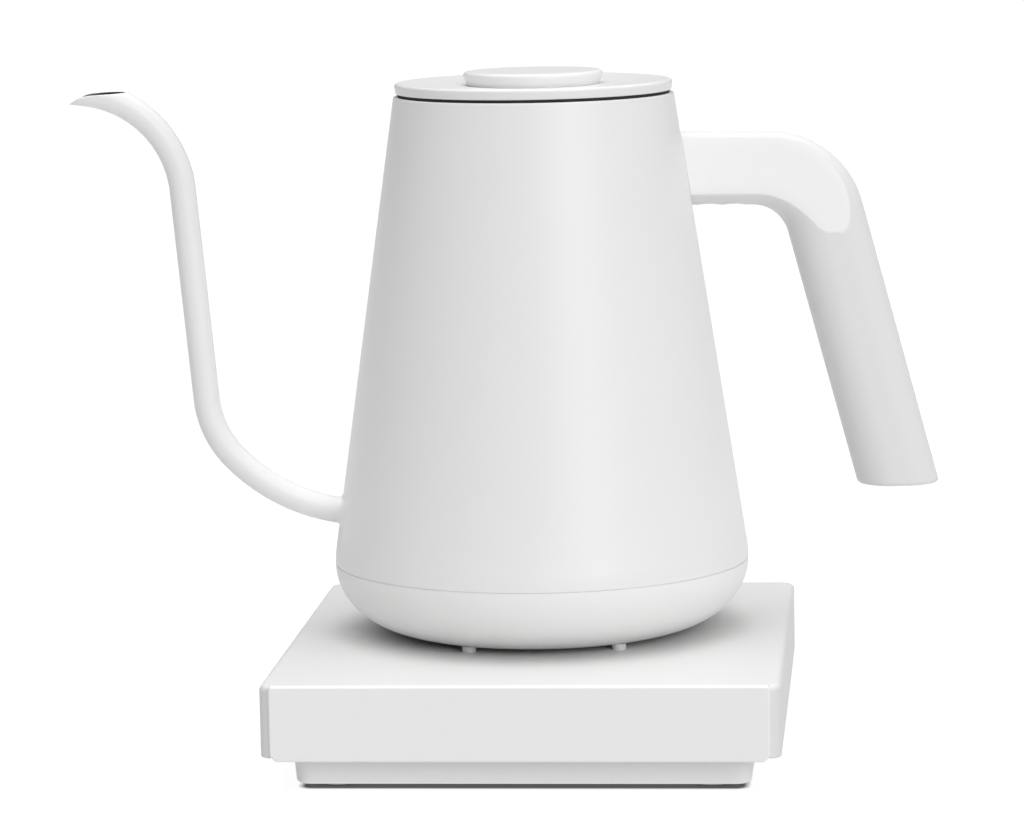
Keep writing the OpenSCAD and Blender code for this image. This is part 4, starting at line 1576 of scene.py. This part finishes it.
    def _weld_line(self, turn: float, foot: float) -> list[Vector]:
        """One line of the soft weld.

        Args:
            turn: Angle of the line round the tube.
            foot: Where the tube's own line comes out of the body.

        Returns:
            Its points, from the body to the tube.
        """
        corner = self.point(foot, turn, self.radius)
        on_tube = self.point(foot + self._reach(self.weld_tube, turn), turn, self.radius)
        away = corner - self.point(foot, turn, 0.0)
        normal = Vector((corner.x, corner.y, 0.0)).normalized()
        normal += Vector((0, 0, math.tan(self.body.lean)))
        away = (away - normal * (away.dot(normal) / normal.length_squared)).normalized()
        flat = corner + away * self._reach(self.weld_body, turn)
        scale = (self.body.cone(flat.z) - self.weld_sunk) / math.hypot(flat.x, flat.y)
        on_body = Vector((flat.x * scale, flat.y * scale, flat.z))
        shares = [i / self.weld_steps for i in range(self.weld_steps + 1)]
        return [
            on_body * (1 - t) ** 2 + corner * (2 * t * (1 - t)) + on_tube * t ** 2 for t in shares
        ]

    def _run(
        self, starts: Sequence[float], ends: Sequence[float], count: int, radius: float
    ) -> list[list[Vector]]:
        """Rings of the tube between two rows of distances along the path.

        Args:
            starts: Where each line starts. No ring is made there.
            ends: Where each line ends.
            count: Number of rings.
            radius: Distance from the middle of the tube.

        Returns:
            The rings.
        """
        lines = list(zip(starts, ends, self.turns))
        return [
            [self.point(low + (high - low) * i / count, turn, radius) for low, high, turn in lines]
            for i in range(1, count + 1)
        ]

    def build(self) -> list[Piece]:
        """Builds the tube with its inner wall.

        Returns:
            The tube.
        """
        bare = [self._foot(turn) for turn in self.turns]
        feet = [foot + self._reach(self.weld_tube, turn) for foot, turn in zip(bare, self.turns)]
        joined = [max(feet) + self.weld_ease] * self.sides
        bend = self.top_bend * self.bend_margins[1]
        last = [self.total - self.tip_length - bend] * self.sides
        low, high = self.lip_drops
        lip = (
            (self.radius - self.lip_edge, high), (self.radius - self.wall / 2, 0.0),
            (self.bore + self.lip_edge, high), (self.bore, low),
        )
        ends = [self._end(turn, self.radius, low) for turn in self.turns]
        inner = [self._end(turn, self.bore, low) for turn in self.turns]
        rings = list(zip(*(self._weld_line(turn, foot) for turn, foot in zip(self.turns, bare))))
        counts = iter(self.ring_counts)
        for start, end in ((feet, joined), (joined, last), (last, ends)):
            rings += self._run(start, end, next(counts), self.radius)
        for radius, below in lip:
            rings.append([
                self.point(self._end(turn, radius, below), turn, radius) for turn in self.turns
            ])
        for start, end in ((inner, last), (last, [0.0] * self.sides)):
            rings += self._run(start, end, next(counts), self.bore)
        draft = Draft()
        draft.loft(rings, looped=True)
        tube = draft.make("spout_skin", ON_KETTLE, crease=60)
        place(tube, Body.KETTLE, Finish.WHITE_COAT, "spout")
        # The inner wall gets a dark steel, a painted shade inside the tube.
        self._paint_bore_shade(tube)
        return [tube]

    def _paint_bore_shade(self, tube: Piece) -> None:
        """Leaves the inner wall of the tube as bare steel, darkened as painted shade inside the
        tube.

        Args:
            tube: The tube.
        """
        tube.data.materials.append(Finish.BORE_STEEL_PAINTED_SHADE.material())
        back = ON_KETTLE.inverted()
        steps, spare = self.axis_steps
        spots = (self.total * i / steps for i in range(-spare, steps + spare))
        axis = [self.route.at(spot)[0] for spot in spots]
        limit = self.bore + self.wall * self.bore_share
        for face in tube.data.polygons:
            centre = back @ face.center
            spot = Vector((-centre.x, centre.z))
            nearest = min((p - spot).length_squared for p in axis)
            if math.hypot(math.sqrt(nearest), centre.y) < limit:
                face.material_index = 1


# --- handle ---


def paced(share: float, power: float) -> float:
    """A share that starts slowly for a power above 1, and ends slowly for one below -1."""
    return share ** power if power > 0 else 1 - (1 - share) ** -power


def blend(before: Flat, corner: Flat, after: Flat) -> Flat:
    """The middle of a small rounding of a corner."""
    return tuple(0.25 * a + 0.5 * b + 0.25 * c for a, b, c in zip(before, corner, after))


@dataclass
class Handle(Assembly):
    """The hollow moulded handle: a level arm with flat cheeks, one bend and a slanting grip."""

    finishes: Wardrobe = {
        Finish.BRIGHT_STEEL: ("handle_mount", "handle_screws"),
        Finish.WHITE_PLASTIC: ("handle_end_cap",),
    }
    body: KettleBody
    width: float = 27.4 * MM
    thickness: float = 23 * MM
    wall: float = 3 * MM
    arm_height: float = 157 * MM
    arm_width: float = 25.3 * MM
    arm_fall: float = math.radians(1.5)
    bend_start: float = 74 * MM
    bend_inner: float = 15 * MM
    inner_bend: float = 13.5 * MM
    outer_bend: float = 33.8 * MM
    slant: float = math.radians(15)
    end_height: float = 45.2 * MM
    end_edge: float = 1.3 * MM
    end_mouth: float = 8 * MM
    cheek_half: float = 7.75 * MM
    cheek_tilt: float = math.radians(9.5)
    cheek_reach: float = 30 * MM
    cheek_band: float = 0.08 * MM
    pockets: tuple[float, float] = (8 * MM, 17 * MM)
    pocket_radius: float = 3.85 * MM
    pocket_roof: float = 5.5 * MM
    pocket_depth: float = 12 * MM
    plug_radius: float = 3.6 * MM
    plug_depth: float = 0.35 * MM
    plug_height: float = 1.8 * MM
    root_gap: float = 0.03 * MM
    root_edge: float = 0.15 * MM
    root_reach: float = 8 * MM
    crease: float = 0.35 * MM
    land: float = 0.3 * MM
    lead: float = 20 * MM
    tail: float = 60 * MM

    # How finely it is drawn. Where no cheek cuts a section, its rows of points open by the
    # spread. Each count of rings has the power by which they crowd together.
    spread: tuple[float, float] = (0.6 * MM, 4 * MM)
    spread_rate: float = 3.0
    cheek_edge: float = 0.3
    first_ring: float = 4.5 * MM
    last_ring: float = 10 * MM
    ring_counts: tuple[tuple[int, float], ...] = ((12, 1), (40, 1), (16, -2), (30, 1.4))
    arc_points: int = 16
    cheek_points: int = 7
    samples: int = 240

    def __post_init__(self) -> None:
        """Lays the path out from the body."""
        self.arm_z = self.body.seat_z + self.arm_height
        self.end_z = self.body.seat_z + self.end_height
        self.root_x = self.body.cone(self.arm_z)
        middle = self.bend_inner + self.width / 2
        fall = -self.arm_fall
        arm = (self.bend_start - self.root_x) / math.cos(fall) + middle * math.sin(self.arm_fall)
        self.route = Route(Vector((self.root_x, self.arm_z)), fall).add(arm)
        self.route.bend(middle, self.slant + self.arm_fall - QUARTER)
        bottom = self.route.at(self.route.length())[0]
        self.route.add((bottom.y - self.end_z) / math.cos(self.slant) + self.width)
        self.half_arc = (self.thickness / 2) * QUARTER
        self.flat = self.width - self.thickness
        self.half_outline = 2 * self.half_arc + self.flat
        self.outer = self._side(1.0, self.outer_bend)
        self.inner = self._side(-1.0, self.inner_bend)

    def _side(self, side: float, bend: float) -> Route:
        """The outer or the inner line of the handle: straight, one bend and straight again.

        Args:
            side: 1 for the outer line, -1 for the inner one.
            bend: Radius of its bend.

        Returns:
            The line.
        """
        arm, _, grip = self.route.legs
        start = arm.start + left_of(arm.angle) * (side * self.arm_width / 2)
        end = grip.start + left_of(grip.angle) * (side * self.width / 2)
        ahead, down = heading(arm.angle), heading(grip.angle)
        reach = (end - start).cross(down) / ahead.cross(down)
        curl = grip.angle - arm.angle
        straight = reach - bend * math.tan(abs(curl) / 2)
        line = Route(start - ahead * self.lead, arm.angle)
        return line.add(straight + self.lead).bend(bend, curl).add(grip.length + self.tail)

    def _growth(self, along: float) -> Flat:
        """How much deeper than the full section the handle is.

        Args:
            along: Distance along the path.

        Returns:
            The factors outwards and inwards.
        """
        middle, angle = self.route.at(along)
        sizes = []
        for line, side in ((self.outer, 1.0), (self.inner, -1.0)):
            def ahead(spot: float, line: Route = line) -> float:
                """Distance beyond the plane of the section."""
                return (line.at(spot)[0] - middle).dot(heading(angle))

            found = line.at(solve(ahead, 0.0, line.length(), steps=32))[0]
            sizes.append((found - middle).dot(left_of(angle)) * side / (self.width / 2))
        return sizes[0], sizes[1]

    def _edge(self, along: float, inset_by: float, growth: Flat) -> Flat:
        """A point of half the section, from its outer to its inner end.

        Args:
            along: Distance along the outline of the full section.
            inset_by: How far inside the full section.
            growth: How much deeper the handle is there, outwards and inwards.

        Returns:
            Distances from the middle, outwards in the plane of the handle and sideways.
        """
        radius = self.thickness / 2
        reach = radius - inset_by
        half = self.flat / 2
        if along < self.half_arc:
            turn = along / radius
            return (half + reach * math.cos(turn)) * growth[0], reach * math.sin(turn)
        if along < self.half_arc + self.flat:
            deep = half - (along - self.half_arc)
            return deep * growth[0 if deep > 0 else 1], reach
        turn = (along - self.half_arc - self.flat) / radius + QUARTER
        return (-half + reach * math.cos(turn)) * growth[1], reach * math.sin(turn)

    def _outside(self, along: float, inset_by: float, growth: Flat) -> Callable[[float], float]:
        """Tells how far the full section stands outside the cheek.

        Args:
            along: Distance along the path.
            inset_by: How far inside the full section.
            growth: How much deeper the handle is there, outwards and inwards.

        Returns:
            A function of the distance along the outline of the section.
        """
        middle, angle = self.route.at(along)
        tilt = math.tan(self.cheek_tilt)
        start = self.cheek_half + (self.arm_z - middle.y) * tilt
        start -= inset_by / math.cos(self.cheek_tilt)
        slope = -left_of(angle).y * tilt

        def over(spot: float) -> float:
            """How far that point stands outside."""
            n, y = self._edge(spot, inset_by, growth)
            return y - (start + slope * n)

        return over

    def section(self, along: float, inset_by: float = 0.0, cheeks: bool = True) -> list[Flat]:
        """The section at a distance along the path, cut by the two cheeks.

        Args:
            along: Distance along the path.
            inset_by: How far inside the full section.
            cheeks: Whether the cheeks cut it.

        Returns:
            Its points, from the outer end round.
        """
        growth = self._growth(along)
        over = self._outside(along, inset_by, growth)
        total, keep = self.half_outline, self.crease

        def span(start: float, end: float, count: int, shift: float = 0.0) -> list[Flat]:
            """Points of the full section between two distances along it."""
            spots = [start + (end - start) * (i + shift) / count for i in range(count + 1)]
            return [self._edge(spot, inset_by, growth) for spot in spots]

        half = self.samples // 2
        peak = max((total * i / half for i in range(half + 1)), key=over)
        proud = over(peak)
        cut = cheeks and proud > 0
        first = solve(over, 0.0, peak) if cut else peak
        last = solve(over, total, peak) if cut else peak
        least, most = self.spread
        spare = 0.0 if cut else min(max(-proud, 0.0) * self.spread_rate + least, most)
        first = max(first - spare, 2 * keep)
        last = min(last + spare, total - 2 * keep)
        a, b = (self._edge(spot, inset_by, growth) for spot in (first, last))

        def between(share: float) -> Flat:
            """A point of the cheek."""
            return a[0] + (b[0] - a[0]) * share, a[1] + (b[1] - a[1]) * share

        length = max(math.dist(a, b), TINY)
        if cut:
            near, gaps = min(keep / length, self.cheek_edge), self.cheek_points - 1
            inner = [between(near + (1 - 2 * near) * i / gaps) for i in range(gaps + 1)]
        else:
            inner = span(first, last, self.cheek_points, 0.5)[:-1]
        before = span(0.0, first - keep, self.arc_points)
        after = span(last + keep, total, self.arc_points)
        points = [
            *before, blend(before[-1], a, between(keep / length)),
            *inner, blend(inner[-1], b, after[0]), *after,
        ]
        return points + [(n, -y) for n, y in reversed(points[1:-1])]

    def point(self, along: float, spot: Flat) -> Vector:
        """A point of a section in the kettle's own frame, with the handle towards +X.

        Args:
            along: Distance of the section along the path.
            spot: The point in the section.

        Returns:
            The point.
        """
        middle, angle = self.route.at(along)
        side = middle + left_of(angle) * spot[0]
        return Vector((side.x, spot[1], side.y))

    def _root_ring(self, inset_by: float, gap: float) -> list[Vector]:
        """A ring that follows the body at a distance.

        Args:
            inset_by: How far inside the full section.
            gap: Its distance from the body.

        Returns:
            The ring.
        """
        ring = []
        for i, spot in enumerate(self.section(self.root_reach / 2, inset_by)):
            def clear(along: float, spot: Flat = spot) -> float:
                """Distance outside the body, less the gap."""
                return self.body.clear(self.point(along, spot)) - gap

            along = solve(clear, -self.root_reach, self.root_reach)
            ring.append(self.point(along, self.section(along, inset_by)[i]))
        return ring

    def _end_ring(self, inset_by: float, z: float) -> list[Vector]:
        """A level ring at the lower end of the grip.

        Args:
            inset_by: How far inside the full section.
            z: Its height.

        Returns:
            The ring.
        """
        total = self.route.length()
        ring = []
        for spot in self.section(total - self.width, inset_by, cheeks=False):
            def height(along: float, spot: Flat = spot) -> float:
                """Height above the level."""
                return self.point(along, spot).z - z

            along = solve(height, total - 3 * self.width, total + self.width)
            ring.append(self.point(along, spot))
        return ring

    def _tongue(self, along: float) -> float:
        """How far the section at a distance along the path stands outside the cheeks."""
        over = self._outside(along, 0.0, self._growth(along))
        return max(over(self.half_outline * i / (self.samples - 1)) for i in range(self.samples))

    def _stations(self) -> list[float]:
        """Where the rings square to the path stand.

        Returns:
            Distances along the path, closer together in the bend and at the end of the cheeks.
        """
        arm, bend, grip = (leg.length for leg in self.route.legs)
        turned = arm + bend
        tongue = solve(self._tongue, turned, turned + self.cheek_reach)
        tail = turned + grip - self.width - self.last_ring
        stations, here = [self.first_ring], self.first_ring
        for there, (count, power) in zip((arm, turned, tongue, tail), self.ring_counts):
            shares = [paced((i + 1) / count, power) for i in range(count)]
            stations += [here + (there - here) * share for share in shares]
            here = there
        return stations

    def build(self) -> list[Piece]:
        """Builds the bar and the plugs of its screws."""
        return [self._build_bar(), self._build_plugs()]

    def _build_bar(self) -> Piece:
        """The bar, with pockets for the screws and a mouth for the end cap.

        Returns:
            The piece.
        """
        gap, edge = self.root_gap, self.root_edge
        rings = [self._root_ring(edge * x, gap + edge * y) for x, y in reversed(quarter(3))]
        rings.append(self._root_ring(0.0, gap + edge + self.land))
        for along in self._stations():
            rings.append([self.point(along, spot) for spot in self.section(along)])
        edge, end, step = self.end_edge, self.end_z, EASED
        levels = [
            (0.0, edge + self.land), *((edge * x, edge * y) for x, y in quarter(4)),
            (self.wall - step, 0.0), (self.wall, step), (self.wall, self.end_mouth),
        ]
        rings += [self._end_ring(inset_by, end + level) for inset_by, level in levels]
        draft = Draft()
        first, *_, last = draft.loft(rings)
        draft.fan(first)
        draft.fan(last)
        bar = draft.make("handle_skin", ON_KETTLE, crease=50)
        roof = self.arm_z - self.width / 2 + self.pocket_roof
        cutters = []
        for out in self.pockets:
            spot = ON_KETTLE @ Vector((self.root_x + out, 0, roof))
            cutters.append(rod(spot - Vector((0, 0, self.pocket_depth)), spot, self.pocket_radius))
        carve(bar, cutters)
        # The bar wears the darker copy of the white plastic, a painted shade; the cheeks get the
        # lighter copy next.
        place(bar, Body.KETTLE, Finish.GRIP_PLASTIC_PAINTED_SHADE, "handle_bar")
        self._paint_cheeks_lighter(bar)
        return bar

    def _paint_cheeks_lighter(self, bar: Piece) -> None:
        """Gives the flat cheeks a smoother, lighter copy of the plastic, whose lighter tone is
        painted light.

        Args:
            bar: The bar.
        """
        bar.data.materials.append(Finish.CHEEK_PLASTIC_PAINTED_LIGHT.material())
        back = ON_KETTLE.inverted()
        tilt = math.tan(self.cheek_tilt)
        for face in bar.data.polygons:
            centre = back @ face.center
            flat = self.cheek_half + (self.arm_z - centre.z) * tilt
            if abs(abs(centre.y) - flat) < self.cheek_band:
                face.material_index = 1

    def _build_plugs(self) -> Piece:
        """The plugs that hide the screws under the arm.

        Returns:
            The piece.
        """
        low = self.arm_z - self.arm_width / 2 + self.plug_depth
        outline = open_outline([
            Corner(0.0, low),
            Corner(self.plug_radius, low, SOFT, 3),
            Corner(self.plug_radius, low + self.plug_height),
            Corner(0.0, low + self.plug_height),
        ], FINEST)
        draft = Draft()
        for out in self.pockets:
            draft.lathe(outline, segments=64, looped=False, middle=self.root_x + out)
        plugs = draft.make("plug_skin", ON_KETTLE)
        # The plugs wear the same darker copy of the white plastic, a painted shade.
        return place(plugs, Body.KETTLE, Finish.GRIP_PLASTIC_PAINTED_SHADE, "handle_plugs")


# --- studio ---


def towards(turn: float, rise: float) -> Vector:
    """The direction at an angle from the front towards the handle's side and one above level."""
    level = math.cos(rise)
    return Vector((math.sin(turn) * level, -math.cos(turn) * level, math.sin(rise)))


@dataclass
class Studio:
    """Camera, lights, white surroundings and a plain pale floor with a painted shadow under the
    base.
    """

    turn: float = math.radians(5.207)
    rise: float = math.radians(7.978)
    roll: float = math.radians(-1.123)
    lens: float = 152.0
    sensor: float = 36.0
    distance: float = 1.48232
    view_end: float = 100.0
    target: tuple[float, float, float] = (-0.008676, -0.00922, 0.110454)
    key_turn: float = math.radians(34)
    key_rise: float = math.radians(21)
    key_spread: float = math.radians(34)
    key_strength: float = 1.07
    key_distance: float = 3.0
    low_sky: float = 0.02
    ground: float = 0.74
    high_sky: float = 3.25
    sky_focus: float = 4.0
    floor_size: float = 30.0
    floor_cloud: Noise = (3.0, 2.0)
    floor_greys: tuple[float, float] = (0.1, 0.11)
    floor_roughness: float = 0.8
    floor_swing: float = 0.1
    floor_glow: float = 0.92
    # How far the painted shadow under the base fades into the floor's glow.
    painted_shadow_fade: float = 2.5 * MM
    footprint: tuple[Flat, Flat, float] = ((0.0, 0.0), (0.08, 0.08), 0.0)

    def build(self) -> None:
        """Builds the studio."""
        self._build_camera()
        self._build_world()
        self._build_floor()
        self._build_key()
        bpy.context.scene.view_settings.view_transform = "Standard"

    def _build_camera(self) -> None:
        """The camera, from its angles about the target."""
        back = towards(self.turn, self.rise)
        right = (-back).cross(Vector((0, 0, 1))).normalized()
        up = right.cross(-back)
        across = right * math.cos(self.roll) + up * math.sin(self.roll)
        upright = up * math.cos(self.roll) - right * math.sin(self.roll)
        data = bpy.data.cameras.new("camera")
        data.sensor_fit = "HORIZONTAL"
        data.sensor_width = self.sensor
        data.lens = self.lens
        data.clip_end = self.view_end
        camera = bpy.data.objects.new("camera", data)
        stand = Matrix((across, upright, back)).transposed().to_4x4()
        stand.translation = Vector(self.target) + back * self.distance
        camera.matrix_world = stand
        bpy.context.scene.collection.objects.link(camera)
        bpy.context.scene.camera = camera

    def _build_key(self) -> None:
        """A broad soft key light from far away."""
        data = bpy.data.lights.new("key", "SUN")
        data.energy = self.key_strength
        data.angle = self.key_spread
        lamp = bpy.data.objects.new("key", data)
        back = towards(self.key_turn, self.key_rise)
        lamp.rotation_euler = back.to_track_quat("Z", "Y").to_euler()
        lamp.location = back * self.key_distance
        bpy.context.scene.collection.objects.link(lamp)

    def _build_world(self) -> None:
        """White surroundings, brightest overhead."""
        world = bpy.data.worlds.new("surroundings")
        graph = Graph(world)
        height = graph.value(graph.parts(graph.where("Generated")), "Z")
        sky = self.low_sky + self.high_sky * height.at_least(0.0) ** self.sky_focus
        glow = sky + (height < 0.0) * self.ground
        shade = graph.node("Background", inputs={"Color": grey(1.0), "Strength": glow})
        graph.node("OutputWorld", inputs={"Surface": shade.outputs[0]})
        bpy.context.scene.world = world

    def _painted_shadow_mask(self, graph: Graph) -> Value:
        """Share of the floor's glow: none under the base, which paints a shadow there, all of it
        beside it.

        Args:
            graph: The floor's node tree.

        Returns:
            The share.
        """
        middle, half, corner = self.footprint
        parts = graph.parts(graph.where("Object"))
        past_x, past_y = (
            (abs(graph.value(parts, axis) - centre) - (reach - corner)).at_least(0.0)
            for axis, centre, reach in zip("XY", middle, half)
        )
        distance = (past_x ** 2 + past_y ** 2) ** 0.5 - corner
        share = distance * (1 / self.painted_shadow_fade) + 1.0
        return graph.value(graph.node("Clamp", inputs={"Value": share}))

    def _build_floor(self) -> None:
        """A wide pale floor that glows a little, except under the base, where the missing glow
        paints a shadow.
        """
        half = self.floor_size / 2
        corners = ((-half, -half), (half, -half), (half, half), (-half, half))
        floor = Draft([Vector((*p, 0)) for p in corners], [(0, 1, 2, 3)]).make("floor")
        graph = Graph(bpy.data.materials.new("pale_floor"))
        cloud = graph.noise(*self.floor_cloud)
        floor.data.materials.append(graph.surface({
            "Base Color": graph.mix(cloud, *map(grey, self.floor_greys)),
            "Roughness": self.floor_roughness + cloud * self.floor_swing,
            # No glow under the base, so the dark floor there is a painted shadow.
            "Emission Color": graph.mix(self._painted_shadow_mask(graph), grey(0.0), grey(1.0)),
            "Emission Strength": self.floor_glow,
        }))
        floor.visible_diffuse = False


def main() -> None:
    """Builds and dresses every sub-assembly, reports each piece, and builds the studio."""
    logging.basicConfig(level=logging.INFO, format="%(name)s: %(message)s")
    base = PowerBase()
    body = KettleBody()
    for part in (base, body, Spout(body), Handle(body), Lid()):
        for piece in part.build():
            LOG.info("%s built with %d faces", piece.name, len(piece.data.polygons))
        for piece in part.dress():
            LOG.info("%s dressed", piece.name)
    Studio(footprint=base.footprint()).build()


if __name__ == "__main__":
    main()
